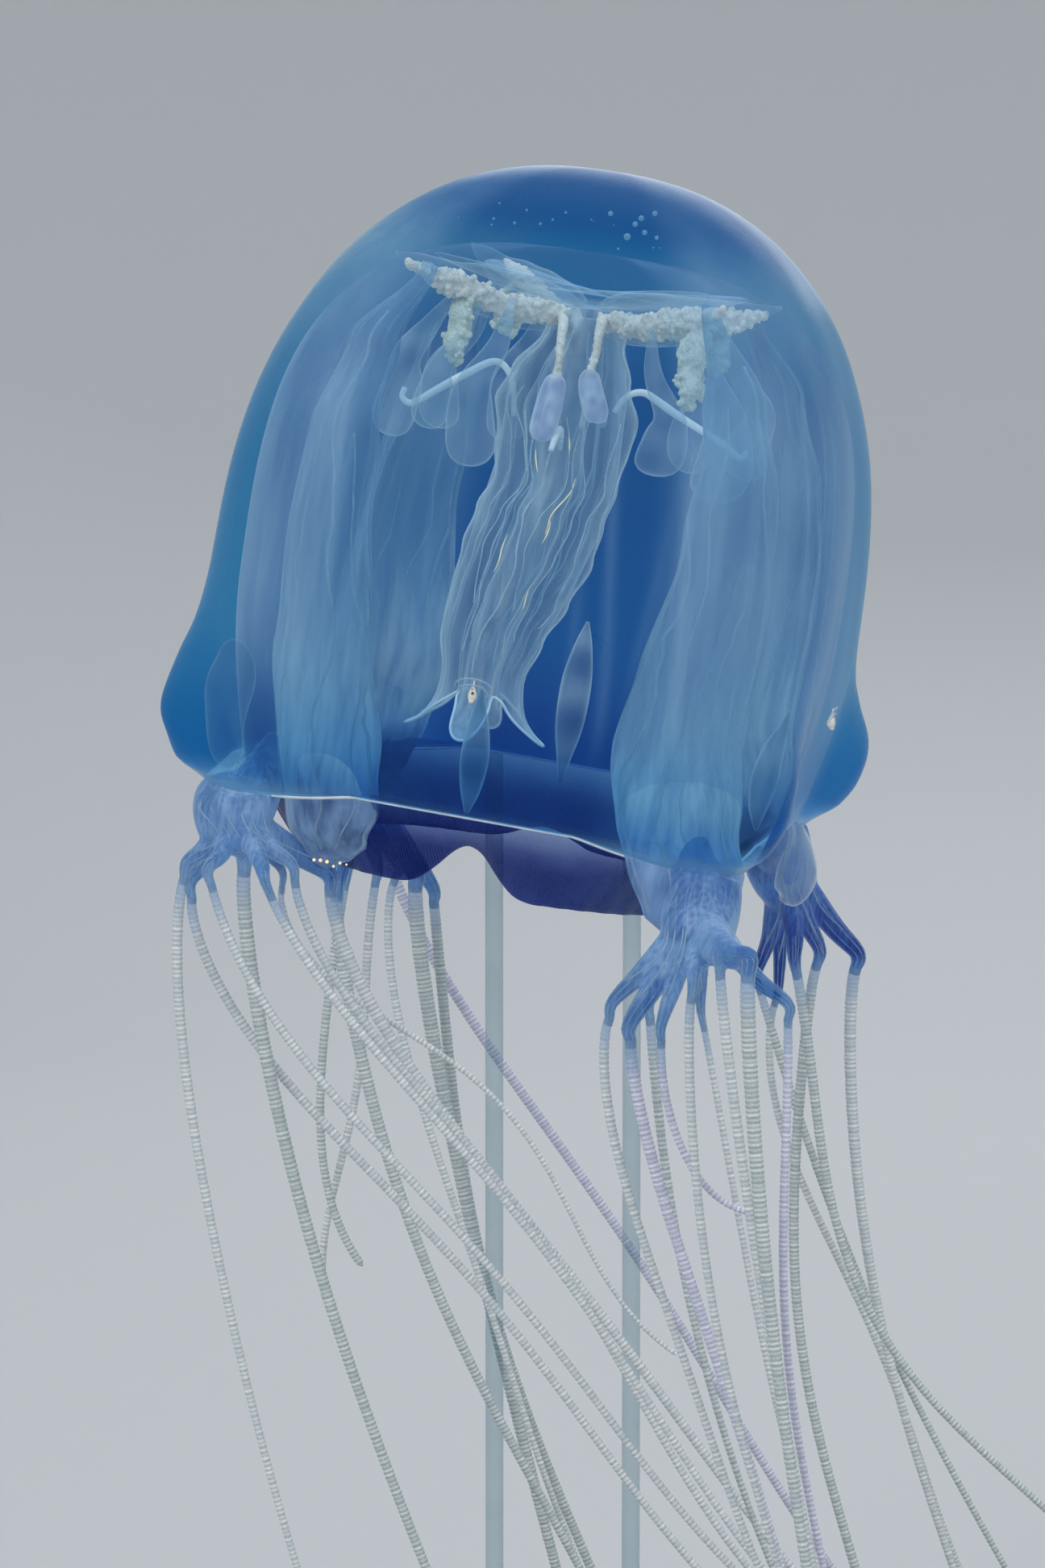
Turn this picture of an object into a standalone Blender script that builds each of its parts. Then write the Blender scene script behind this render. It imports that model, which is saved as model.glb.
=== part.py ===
"""Box jellyfish (sea wasp), adult, life size, in its swimming pose on a display stand.

Metres, +Z up. The bell and the organs inside it are modelled in the bell's own frame: origin at the
middle of its margin, +Z along its axis, flat faces towards X and Y and pillars at the four corners.
"""

import math

import bmesh
import bpy
from mathutils import Matrix, Vector

MM = 0.001

# Bell: a rounded cube of clear jelly, open below
BELL_HEIGHT = 191.0
FACE_RADIUS = 93.0  # axis to the middle of a flat face
CORNER_RATIO = 1.231  # corner radius over face radius on the straight wall
APEX_RATIO = 1.05
SHOULDER = 60.0  # height where the wall starts to turn into the dome
DOME_POWER = 2.42
MARGIN_TUCK = 0.10  # how far the faces draw in at the margin
ROOF_HEIGHT = 166.0  # inside of the thick apex jelly
ROOF_POWER = 3.1
FACE_WALL = 5.0
CORNER_WALL = 12.0
LOBE_FLARE = 18.0  # the pillars swell into lobes just above the pedalia
LOBE_HEIGHT = 17.0
LOBE_SPREAD = 24.0
LOBE_DROP = 5.0
CROWN_CUT = 108.0  # the bell is parted here into its wall and its thick crown
SECTORS = 40

# Bell attitude: turned about the vertical, leaning to one side, nodding forwards
MARGIN_CENTRE = (-1.5, 0.0, 372.0)
TURN, LEAN, NOD = -11.1, 9.2, 1.9

# Organs
VELARIUM_DROP = 26.0
VELARIUM_NOTCH = 14.0
VELARIUM_THICK = 1.2
RHOPALIUM_HEIGHT = 37.0
NICHE_RADIUS = 6.0
MANUBRIUM_TOP = 156.6
MANUBRIUM_END = 26.0
MANUBRIUM_SWING = 16.0
LIP_LENGTH = 15.0
STOMACH_BASE, STOMACH_TOP = 157.8, 161.4
STOMACH_FACE, STOMACH_CORNER = 42.0, 49.0

# Stand
BASE_RADIUS, BASE_THICK = 138.0, 12.0
BASE_CENTRE = (18.0, 8.0)
ROD_RADIUS = 3.0
ROD_OFFSETS = {"stand_rod_left": -25.0, "stand_rod_right": 22.0}
ROD_RING = 83.5
FIT = 0.3  # clearance where two pieces meet


def clear_scene():
    for item in list(bpy.data.objects):
        bpy.data.objects.remove(item, do_unlink=True)


def make_collection(name, shown=True):
    made = bpy.data.collections.new(name)
    bpy.context.scene.collection.children.link(made)
    made.hide_render = not shown
    return made


def make_material(name, colour, roughness):
    material = bpy.data.materials.new(name)
    material.use_nodes = True
    shader = material.node_tree.nodes["Principled BSDF"]
    shader.inputs["Base Color"].default_value = (*colour, 1.0)
    shader.inputs["Roughness"].default_value = roughness
    shader.inputs["Metallic"].default_value = 0.0
    material.diffuse_color = (*colour, 1.0)
    return material


clear_scene()
BODY = make_collection("box_jellyfish")
HELPERS = make_collection("helpers", shown=False)

JELLY = make_material("bell jelly", (0.05, 0.20, 0.48), 0.15)
MILKY = make_material("milky tissue", (0.30, 0.46, 0.68), 0.30)
INDIGO = make_material("velarium membrane", (0.03, 0.04, 0.25), 0.25)
CREAM = make_material("gastric filament", (0.62, 0.58, 0.52), 0.60)
LAVENDER = make_material("stomach sac", (0.45, 0.52, 0.80), 0.35)
EYE = make_material("rhopalium", (0.75, 0.74, 0.70), 0.30)
BAND = make_material("tentacle", (0.66, 0.70, 0.70), 0.40)
ACRYLIC = make_material("acrylic rod", (0.80, 0.84, 0.86), 0.05)
BASE_PAINT = make_material("stand base", (0.10, 0.10, 0.11), 0.45)

BELL_AXES = bpy.data.objects.new("bell_axes", None)
BELL_AXES.matrix_world = (
    Matrix.Translation(Vector(MARGIN_CENTRE) * MM)
    @ Matrix.Rotation(math.radians(TURN), 4, "Z")
    @ Matrix.Rotation(math.radians(LEAN), 4, "Y")
    @ Matrix.Rotation(math.radians(NOD), 4, "X")
)
BODY.objects.link(BELL_AXES)
BELL_MATRIX = BELL_AXES.matrix_world.copy()


def add_mesh(name, shape, material, collection=None, in_bell=False):
    """Finish a bmesh: weld, face the normals outwards, and give it an object."""
    bmesh.ops.remove_doubles(shape, verts=shape.verts, dist=1e-6)
    bmesh.ops.recalc_face_normals(shape, faces=shape.faces)
    mesh = bpy.data.meshes.new(name)
    shape.to_mesh(mesh)
    shape.free()
    mesh.materials.append(material)
    item = bpy.data.objects.new(name, mesh)
    (collection or BODY).objects.link(item)
    if in_bell:
        item.parent = BELL_AXES
    return item


def loft(rings, wrap=False):
    """Skin a stack of equal closed rings of points; a ring of one point is a pole."""
    shape = bmesh.new()
    rows = [[shape.verts.new(Vector(point) * MM) for point in ring] for ring in rings]
    pairs = list(zip(rows, rows[1:]))
    if wrap:
        pairs.append((rows[-1], rows[0]))
    for low, high in pairs:
        count = max(len(low), len(high))
        for i in range(count):
            j = (i + 1) % count
            corners = [low[i % len(low)], low[j % len(low)], high[j % len(high)], high[i % len(high)]]
            shape.faces.new(list(dict.fromkeys(corners)))
    return shape


def tube(name, points, radii, material, sides=6, collection=None, in_bell=False):
    """A round tapering tube along a bevelled curve, capped at both ends."""
    curve = bpy.data.curves.new(name, "CURVE")
    curve.dimensions = "3D"
    curve.bevel_depth = MM
    curve.bevel_resolution = sides // 2 - 2
    curve.use_fill_caps = True
    spline = curve.splines.new("POLY")
    spline.points.add(len(points) - 1)
    for knot, point, radius in zip(spline.points, points, radii):
        knot.co = (*(Vector(point) * MM), 1.0)
        knot.radius = radius
    guide = bpy.data.objects.new(name + "_guide", curve)
    HELPERS.objects.link(guide)
    graph = bpy.context.evaluated_depsgraph_get()
    mesh = bpy.data.meshes.new_from_object(guide.evaluated_get(graph))
    bpy.data.objects.remove(guide, do_unlink=True)
    shape = bmesh.new()
    shape.from_mesh(mesh)
    bpy.data.meshes.remove(mesh)
    return add_mesh(name, shape, material, collection, in_bell)


def join_solids(target, group):
    """Grow target and every solid of the hidden group into one body."""
    for item in group.objects:
        item.display_type = "WIRE"
    modifier = target.modifiers.new("grown together", "BOOLEAN")
    modifier.operation = "UNION"
    modifier.solver = "MANIFOLD"
    modifier.operand_type = "COLLECTION"
    modifier.collection = group


# ---------------------------------------------------------------- bell
def dome_share(height, top, power):
    if height <= SHOULDER:
        return 1.0
    rise = min((height - SHOULDER) / (top - SHOULDER), 1.0)
    return (1.0 - rise**power) ** (1.0 / power)


def face_radius(height):
    tuck = MARGIN_TUCK * max(0.0, 1.0 - height / SHOULDER) ** 2
    return FACE_RADIUS * (1.0 - tuck) * dome_share(height, BELL_HEIGHT, DOME_POWER)


def squared_ring(face, ratio, height, flare=0.0, drop=0.0, lift=None):
    """A rounded square: flats at face, corners at face * ratio, with optional corner lobes."""
    power = 1.0 / (0.5 - math.log2(ratio))
    ring = []
    for i in range(SECTORS):
        turn = 2.0 * math.pi * i / SECTORS
        across, along = math.cos(turn), math.sin(turn)
        radius = face / (abs(across) ** power + abs(along) ** power) ** (1.0 / power)
        corner = max(0.0, -math.cos(4.0 * turn))
        radius += flare * corner**2.5
        level = height - drop * corner
        if lift:
            level += lift(turn)
        ring.append((radius * across, radius * along, level))
    return ring


def bell_ring(height):
    share = height / BELL_HEIGHT
    swell = math.exp(-(((height - LOBE_HEIGHT) / LOBE_SPREAD) ** 2))
    rounding = min(1.0, 0.45 + share / 0.05)
    ratio = APEX_RATIO + (CORNER_RATIO - APEX_RATIO) * dome_share(height, BELL_HEIGHT, DOME_POWER) ** 1.5
    return squared_ring(
        face_radius(height), ratio, height, LOBE_FLARE * swell * rounding, LOBE_DROP * (1.0 - share) ** 8
    )


def cavity_ring(height):
    share = dome_share(height, ROOF_HEIGHT, ROOF_POWER)
    tuck = MARGIN_TUCK * max(0.0, 1.0 - height / SHOULDER) ** 2
    straight = FACE_RADIUS * (1.0 - tuck)
    face = (straight - FACE_WALL) * share
    corner = (straight * CORNER_RATIO - CORNER_WALL) * share
    return squared_ring(face, 1.03 + (corner / face - 1.03) * share, height, drop=4.0 * max(0.0, 1.0 - height / 20.0))


outer = [bell_ring(h) for h in (0.0, 6.7, 15.3, 26.7, 44.0, 71.0, 92.0, CROWN_CUT)]
inner = [cavity_ring(h) for h in (CROWN_CUT, 84.0, 60.0, 18.0, 0.0)]
wall = add_mesh("bell_wall", loft(outer + inner, wrap=True), JELLY, in_bell=True)

roof = [cavity_ring(h) for h in (164.4, 156.0, 138.0, CROWN_CUT + FIT)]
dome = [bell_ring(h) for h in (CROWN_CUT + FIT, 126.0, 149.0, 168.0, 181.5, 188.5)]
crown_rings = [[(0.0, 0.0, ROOF_HEIGHT)], *roof, *dome, [(0.0, 0.0, BELL_HEIGHT)]]
add_mesh("bell_crown", loft(crown_rings), JELLY, in_bell=True)

# Niches for the sense organs, low on each face
niche_radius = face_radius(RHOPALIUM_HEIGHT) + 2.6
for quarter in range(4):
    turn = math.radians(90 * quarter)
    ball = bmesh.new()
    bmesh.ops.create_icosphere(ball, subdivisions=1, radius=NICHE_RADIUS * MM)
    niche = add_mesh(f"niche_cutter_{quarter}", ball, JELLY, HELPERS, in_bell=True)
    niche.location = Vector((niche_radius * math.cos(turn), niche_radius * math.sin(turn), RHOPALIUM_HEIGHT)) * MM
    niche.display_type = "WIRE"
    cut = wall.modifiers.new(f"niche {quarter}", "BOOLEAN")
    cut.operation = "DIFFERENCE"
    cut.solver = "MANIFOLD"
    cut.object = niche


# ------------------------------------------------------- sense organs
for quarter, side in enumerate(("right", "far", "left", "near")):
    turn = math.radians(90 * quarter)
    reach = face_radius(RHOPALIUM_HEIGHT) + 1.4
    stem = [(4.2, 0.8), (2.2, 0.8), (1.0, 1.7), (-0.8, 2.1), (-2.4, 1.2)]
    tube(
        f"rhopalium_{side}",
        [(reach * math.cos(turn), reach * math.sin(turn), RHOPALIUM_HEIGHT + rise) for rise, _ in stem],
        [radius for _, radius in stem],
        EYE,
        in_bell=True,
    )


# ------------------------------------------- velarium and its frenula
def velarium_hem(turn):
    """The free edge is drawn up at the middle of each face and hangs lowest by the pedalia."""
    return VELARIUM_NOTCH * max(0.0, math.cos(4.0 * turn)) ** 4


def velarium_ring(share, inset):
    face = (FACE_RADIUS * (1.0 - MARGIN_TUCK) - FACE_WALL - 0.6 - inset) * (1.0 - 0.20 * share**1.3)
    return squared_ring(
        face, 1.13 - 0.05 * share, 0.6 - VELARIUM_DROP * share, lift=lambda turn: share * velarium_hem(turn)
    )


outside = [velarium_ring(s, 0.0) for s in (0.0, 1.0)]
inside = [velarium_ring(s, VELARIUM_THICK) for s in (1.0, 0.0)]
velarium = add_mesh("velarium", loft(outside + inside, wrap=True), INDIGO, in_bell=True)

frenula = make_collection("frenula", shown=False)
for quarter in range(4):
    turn = math.radians(90 * quarter)
    spindle = [(75.6, -1.5, 1.2), (75.0, 6.0, 4.0), (76.0, 15.0, 5.0), (78.5, 25.0, 3.2), (81.0, 34.0, 0.7)]
    tube(
        f"frenulum_{quarter}",
        [(radius * math.cos(turn), radius * math.sin(turn), height) for radius, height, _ in spindle],
        [thick for *_, thick in spindle],
        MILKY,
        collection=frenula,
        in_bell=True,
    )
join_solids(velarium, frenula)


# ---------------------------------------------------------- manubrium
def manubrium_ring(height, width, lips=0.0, inset=0.0, lift=0.0):
    """A four-ribbed ring of the mouth tube, which swings to one side as it hangs."""
    fall = (MANUBRIUM_TOP - height) / (MANUBRIUM_TOP - MANUBRIUM_END)
    middle = -MANUBRIUM_SWING * fall**1.5 + 2.0 * math.sin(2.0 * math.pi * fall)
    ring = []
    for i in range(16):
        turn = 2.0 * math.pi * i / 16
        rib = math.cos(4.0 * turn)
        radius = width * (1.0 + (0.16 + 0.10 * lips) * rib) - inset
        level = height + lift - lips * LIP_LENGTH * max(0.0, rib)
        ring.append((middle + radius * math.cos(turn), radius * math.sin(turn), level))
    return ring


tube_rings = [
    manubrium_ring(h, w)
    for h, w in ((MANUBRIUM_TOP, 12.0), (148.0, 13.5), (134.0, 16.5), (118.0, 17.5), (100.0, 16.0),
                 (84.0, 15.5), (68.0, 15.5), (52.0, 15.0), (38.0, 14.0))
]
mouth = [manubrium_ring(26.0, 15.5, lips=1.0), manubrium_ring(26.0, 15.5, lips=0.9, inset=1.6, lift=0.6)]
gullet = manubrium_ring(38.0, 11.5)
throat = [(-12.0, 0.0, 44.0)]
manubrium = add_mesh(
    "manubrium", loft([[(0.0, 0.0, MANUBRIUM_TOP)], *tube_rings, *mouth, gullet, throat]), MILKY, in_bell=True
)

# Thick free edges of the four mesenteries, from the shoulders of the manubrium towards the faces
mesenteries = make_collection("mesentery_edges", shown=False)
for quarter in range(4):
    turn = math.radians(90 * quarter)
    edge = [(13.0, 112.0), (18.5, 124.0), (25.0, 129.0), (40.0, 121.0), (50.0, 113.5), (55.0, 116.5)]
    tube(
        f"mesentery_edge_{quarter}",
        [(reach * math.cos(turn), reach * math.sin(turn), height) for reach, height in edge],
        [1.1] * len(edge),
        MILKY,
        collection=mesenteries,
        in_bell=True,
    )
join_solids(manubrium, mesenteries)


# ------------------------------- stomach with its saccules and capsules
stomach_rings = [
    squared_ring(STOMACH_FACE * share, STOMACH_CORNER / STOMACH_FACE, height)[::2]
    for share, height in ((0.45, STOMACH_BASE), (0.94, STOMACH_BASE), (1.0, STOMACH_BASE + 1.6), (0.9, STOMACH_TOP), (0.45, STOMACH_TOP))
]
stomach = add_mesh(
    "stomach", loft([[(0, 0, STOMACH_BASE)], *stomach_rings, [(0, 0, STOMACH_TOP)]]), MILKY, in_bell=True
)
pendants = make_collection("stomach_pendants", shown=False)
for quarter in range(4):
    for step in (-20, 20):
        turn = math.radians(45 + 90 * quarter + step)
        droop = 4.0 if step > 0 else 0.0
        sac = [(38, 159.6, 1.6), (52, 138, 2.0), (56, 117 - droop, 5.8), (56, 106 - droop, 4.0)]
        tube(
            f"saccule_{quarter}_{step + 20}",
            [(reach * math.cos(turn), reach * math.sin(turn), height) for reach, height, _ in sac],
            [thick for *_, thick in sac],
            MILKY,
            collection=pendants,
            in_bell=True,
        )
for side in (-1, 1):
    hang = [(6.0, 159.6, 1.7), (7.0, 132, 1.9), (7.8, 128, 4.4), (7.8, 112 + 4 * side, 4.7), (7.4, 107 + 4 * side, 2.6)]
    tube(
        f"capsule_{side + 1}",
        [(side * reach, -26.5, height) for reach, height, _ in hang],
        [thick for *_, thick in hang],
        LAVENDER,
        collection=pendants,
        in_bell=True,
    )
join_solids(stomach, pendants)

# Brushes of gastric filaments, one out to each corner, each with a hanging tuft
for quarter, corner in enumerate(("right_far", "left_far", "left_near", "right_near")):
    turn = math.radians(45 + 90 * quarter)

    def on_corner(reach, height):
        return (reach * math.cos(turn), reach * math.sin(turn), height)

    ridge = [(19, 148.5, 1.5), (27, 149.5, 3.6), (37, 151.0, 4.6), (48, 152.0, 4.2), (62.5, 153.0, 0.9)]
    brush = tube(
        f"gastric_filaments_{corner}",
        [on_corner(reach, height) for reach, height, _ in ridge],
        [thick for *_, thick in ridge],
        CREAM,
        in_bell=True,
    )
    tufts = make_collection(f"tuft_{corner}", shown=False)
    tuft = [(45, 152, 2.5), (45.5, 145, 4.4), (46, 137, 4.6), (46.5, 130, 2.2)]
    tube(
        f"tuft_solid_{corner}",
        [on_corner(reach, height) for reach, height, _ in tuft],
        [thick for *_, thick in tuft],
        CREAM,
        collection=tufts,
        in_bell=True,
    )
    join_solids(brush, tufts)


# ---------------------------------------------- tentacles and pedalia
# Each tentacle starts at its finger's tip (x, y, z) and streams back at a lean from the vertical that
# passes from lean_top to lean_low: lean = top + (low - top) * share ** ease + wave * sin(2 pi share).
# Millimetres and degrees. A split tentacle is two lengths, the upper half and the lower half.
TENTACLES = {
    # name: (x, y, z, lean_top, lean_low, wave, ease, length, width_top, width_low, split)
    "a1": (-99.7, -62, 349.7, -44, 17.5, 0.7, 0.15, 228, 3.3, 2.1, False),
    "a2": (-98.6, -50, 342.8, -42, 49.6, 9.4, 0.15, 293, 3.1, 2.2, True),
    "a3": (-90.9, -74, 348.7, 12, 54.7, 10.2, 0.61, 291, 2.8, 2.1, True),
    "a4": (-82.5, -56, 351.5, -26, 21.8, -1.0, 0.15, 265, 4.5, 2.6, True),
    "a5": (-73.4, -80, 346.6, 7, 40.4, 6.5, 0.15, 263, 2.8, 2.1, True),
    "a6": (-66.8, -68, 349.3, -22, 41.8, 9.7, 0.15, 259, 2.8, 2.1, True),
    "a7": (-57.5, -44, 344.3, -32, 45.2, 5.4, 0.15, 294, 4.1, 2.2, True),
    "a8": (-72.4, -38, 344.5, -50, 56.0, 24.0, 0.18, 191, 2.0, 1.3, False),
    "b1": (-58.5, 78, 334.7, -10, 37.1, 1.5, 2.76, 131, 3.2, 2.7, False),
    "b2": (-48.7, 86, 334.8, -10, 11.8, 7.0, 6.0, 143, 3.2, 2.4, False),
    "b3": (-41.8, 70, 336.8, -57, 26.7, 4.6, 0.15, 265, 2.9, 2.1, True),
    "b4": (-35.8, 94, 332.4, -14, 16.1, 0.5, 0.15, 284, 5.4, 3.2, True),
    "b5": (-29.8, 102, 326.2, 5, 23.1, -3.1, 0.92, 270, 3.8, 3.2, True),
    "b6": (-60.5, 62, 332.3, -28, 27.2, -3.0, 0.15, 252, 4.7, 2.6, True),
    "b7": (-48.5, 110, 353.6, -21, 39.5, 5.8, 0.15, 336, 3.8, 2.7, True),
    "c1": (24.9, -100, 312.9, -56, 27.2, 4.1, 0.15, 192, 3.0, 2.1, False),
    "c2": (30.8, -106, 307.2, -16, 21.6, 2.9, 0.15, 211, 3.7, 2.5, False),
    "c3": (36.7, -94, 312.1, 4, 24.9, 0.2, 1.16, 183, 3.0, 1.8, False),
    "c4": (39.3, -112, 308.0, -1, 84.3, 4.9, 1.84, 61, 2.7, 1.8, False),
    "c5": (47.7, -118, 321.4, -28, 15.5, -2.3, 0.15, 195, 2.9, 2.0, False),
    "c6": (52.3, -88, 309.5, 11, 15.1, -0.8, 2.74, 177, 2.1, 1.9, False),
    "c7": (55.3, -124, 328.9, -3, 11.3, -0.5, 0.15, 206, 3.2, 2.3, False),
    "c8": (62.5, -136, 329.6, -11, 9.4, -0.8, 0.15, 223, 4.5, 2.7, False),
    "c9": (74.0, -130, 316.1, 1, 12.8, -3.3, 2.12, 172, 2.7, 2.2, False),
    "d1": (88.4, 46, 308.8, 11, 44.1, -10.4, 1.03, 226, 3.6, 2.1, False),
    "d2": (95.4, 52, 311.0, -35, 12.3, -5.9, 0.16, 245, 3.6, 3.1, False),
    "d3": (108.4, 58, 309.0, -29, 18.2, -2.3, 0.19, 233, 4.2, 2.4, False),
    "d4": (77.5, 64, 301.6, 16, 29.4, -1.4, 0.77, 228, 2.9, 2.1, False),
    "d5": (83.2, 70, 296.9, -21, 40.1, 12.6, 0.48, 246, 2.6, 2.4, False),
}
COURSE_STEPS = 8


def course(row):
    """Points, directions and radii down one tentacle."""
    x, y, z, lean_top, lean_low, wave, ease, length, width_top, width_low, _ = row
    fine = 6
    count = COURSE_STEPS * fine
    place, points, radii = Vector((x, y, z)), [], []
    for i in range(count + 1):
        share = i / count
        if i % fine == 0:
            points.append(place.copy())
            taper = min(1.0, (1.0 - share) / 0.03 + 0.45)
            radii.append(0.5 * (width_top + (width_low - width_top) * share) * taper)
        middle = min(1.0, share + 0.5 / count)
        lean = math.radians(lean_top + (lean_low - lean_top) * middle**ease + wave * math.sin(2 * math.pi * middle))
        place += Vector((math.sin(lean), 0.0, -math.cos(lean))) * (length / count)
    return points, radii


def trimmed(points, start=0.0, end=0.0):
    """The course with its first and last points moved in, to leave clearances."""
    moved = [point.copy() for point in points]
    moved[0] += (points[1] - points[0]).normalized() * start
    moved[-1] -= (points[-1] - points[-2]).normalized() * end
    return moved


# Pedalia: a palm under each corner lobe, whose fingers each carry one tentacle
KNUCKLES = {
    "a": ("left_near", 225, (-82.0, -60.0, 361.0)),
    "b": ("left_far", 135, (-54.0, 88.0, 357.0)),
    "c": ("right_near", 315, (49.0, -102.0, 332.0)),
    "d": ("right_far", 45, (88.0, 59.0, 330.0)),
}
PALM_RING = 102.0
PALM_THICK = 9.5
down_axis = -(BELL_MATRIX.to_3x3() @ Vector((0.0, 0.0, 1.0)))
for letter, (corner, turn, knuckle) in KNUCKLES.items():
    angle = math.radians(turn)
    root = Vector((PALM_RING * math.cos(angle), PALM_RING * math.sin(angle), -LOBE_DROP - 1.2)) * MM
    root = (BELL_MATRIX @ root) / MM
    knuckle = Vector(knuckle)
    neck = root + down_axis * 5.0
    palm = tube(
        f"pedalium_{corner}",
        [root, neck, neck.lerp(knuckle, 0.6), knuckle + (knuckle - neck).normalized() * 3.0],
        [PALM_THICK * 0.85, PALM_THICK, PALM_THICK, PALM_THICK * 0.55],
        MILKY,
        sides=8,
    )
    fingers = make_collection(f"fingers_{corner}", shown=False)
    for name, row in TENTACLES.items():
        if name[0] != letter:
            continue
        points, radii = course(row)
        tip = points[0]
        back = (points[0] - points[1]).normalized()
        wrist = knuckle.lerp(neck, 0.15) + Vector(((tip.x - knuckle.x) * 0.12, (tip.y - knuckle.y) * 0.12, 0.0))
        bend = wrist.lerp(tip, 0.55) + Vector(((tip.x - knuckle.x) * 0.12, (tip.y - knuckle.y) * 0.24, 2.5))
        wide = max(1.25 * radii[0], 2.2)
        tube(
            f"finger_{name}",
            [wrist, bend, tip + back * 3.0, tip],
            [wide * 1.9, wide * 1.4, wide, wide * 0.9],
            MILKY,
            collection=fingers,
        )
    join_solids(palm, fingers)

for name, row in TENTACLES.items():
    points, radii = course(row)
    if row[-1]:
        half = COURSE_STEPS // 2
        tube(f"tentacle_{name}_upper", trimmed(points[: half + 1], FIT, FIT / 2), radii[: half + 1], BAND)
        tube(f"tentacle_{name}_lower", trimmed(points[half:], FIT / 2), radii[half:], BAND)
    else:
        tube(f"tentacle_{name}", trimmed(points, FIT), radii, BAND)


# -------------------------------------------------------------- stand
plate = bmesh.new()
bmesh.ops.create_cone(
    plate, cap_ends=True, segments=24, radius1=BASE_RADIUS * MM, radius2=BASE_RADIUS * MM, depth=BASE_THICK * MM
)
rims = [edge for edge in plate.edges if abs(edge.verts[0].co.z - edge.verts[1].co.z) < 1e-6]
bmesh.ops.bevel(plate, geom=rims, offset=1.5 * MM, segments=1, affect="EDGES", profile=0.5)
base = add_mesh("stand_base", plate, BASE_PAINT)
base.location = Vector((*BASE_CENTRE, BASE_THICK / 2)) * MM

for name, offset in ROD_OFFSETS.items():
    top = (BELL_MATRIX @ (Vector((offset, ROD_RING, -1.3)) * MM)) / MM
    height = top.z - BASE_THICK - FIT
    rod = bmesh.new()
    bmesh.ops.create_cone(
        rod, cap_ends=True, segments=12, radius1=ROD_RADIUS * MM, radius2=ROD_RADIUS * MM, depth=height * MM
    )
    item = add_mesh(name, rod, ACRYLIC)
    item.location = Vector((top.x, top.y, BASE_THICK + FIT + height / 2)) * MM
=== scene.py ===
import math
import random

import bmesh
import bpy
from mathutils import Matrix, Vector, noise


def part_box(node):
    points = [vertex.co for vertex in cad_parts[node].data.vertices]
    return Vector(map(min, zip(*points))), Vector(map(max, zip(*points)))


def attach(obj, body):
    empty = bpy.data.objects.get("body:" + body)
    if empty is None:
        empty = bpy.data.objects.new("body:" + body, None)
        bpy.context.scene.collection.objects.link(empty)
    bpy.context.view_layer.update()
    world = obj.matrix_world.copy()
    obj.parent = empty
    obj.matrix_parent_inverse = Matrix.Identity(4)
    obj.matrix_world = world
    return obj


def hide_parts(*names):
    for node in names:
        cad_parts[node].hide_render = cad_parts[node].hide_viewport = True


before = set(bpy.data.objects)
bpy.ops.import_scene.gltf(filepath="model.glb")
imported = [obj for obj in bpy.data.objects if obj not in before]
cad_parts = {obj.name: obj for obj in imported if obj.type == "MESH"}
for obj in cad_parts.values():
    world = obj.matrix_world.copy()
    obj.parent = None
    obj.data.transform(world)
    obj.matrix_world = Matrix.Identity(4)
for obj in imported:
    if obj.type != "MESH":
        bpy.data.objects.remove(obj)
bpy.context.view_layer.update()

# Adult box jellyfish (sea wasp), life size: a wet, clear animal in its swimming pose on a display stand.
# Lengths are in millimetres, and MM turns them into the frame's metres. The bell and its organs are shaped
# in the bell's own frame: origin at the middle of its margin, +Z along its axis, pillars at the corners.
MM = 0.001


# ------------------------------------------------------------------ camera and studio
# A long lens a little above the animal's middle, tipped down four degrees. The animal stands in a pale
# matt paper cove, turned as one seamless bowl, under large soft lamps and a pale sky.
MIDDLE = Vector((0.0, 0.0, 373.0)) * MM
CAMERA_AWAY = 1250.0 * MM
CAMERA_TIP = math.radians(4.0)
SEEN_HEIGHT = 486.0 * MM  # height of the picture at the animal's distance

lens = bpy.data.cameras.new("camera")
lens.sensor_fit = "VERTICAL"
lens.sensor_height = 36.0
lens.lens = 36.0 * CAMERA_AWAY / SEEN_HEIGHT
lens.clip_start = 0.05
camera = bpy.data.objects.new("camera", lens)
camera.location = MIDDLE - Vector((0.0, math.cos(CAMERA_TIP), -math.sin(CAMERA_TIP))) * CAMERA_AWAY
camera.rotation_euler = (math.pi / 2 - CAMERA_TIP, 0.0, 0.0)
bpy.context.scene.collection.objects.link(camera)
bpy.context.scene.camera = camera
bpy.context.scene.view_settings.view_transform = "Standard"
bpy.context.scene.cycles.transparent_max_bounces = 48  # many clear walls lie behind each other


def linear(code):
    """An sRGB hex colour as linear light."""
    channels = [int(code[i : i + 2], 16) / 255 for i in (1, 3, 5)]
    return (*[c / 12.92 if c <= 0.04045 else ((c + 0.055) / 1.055) ** 2.4 for c in channels], 1.0)


def add_node(tree, kind, inputs=None, **settings):
    """Add a shader node with its settings; each input is a value or the output socket that feeds it."""
    made = tree.nodes.new("ShaderNode" + kind)
    for name, value in settings.items():
        setattr(made, name, value)
    for name, value in (inputs or {}).items():
        if isinstance(value, bpy.types.NodeSocket):
            tree.links.new(value, made.inputs[name])
        else:
            made.inputs[name].default_value = value
    return made


def new_material(name):
    """An empty material, with its node tree and output."""
    material = bpy.data.materials.new(name)
    material.use_nodes = True
    material.node_tree.nodes.clear()
    return material, material.node_tree, material.node_tree.nodes.new("ShaderNodeOutputMaterial")


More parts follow.
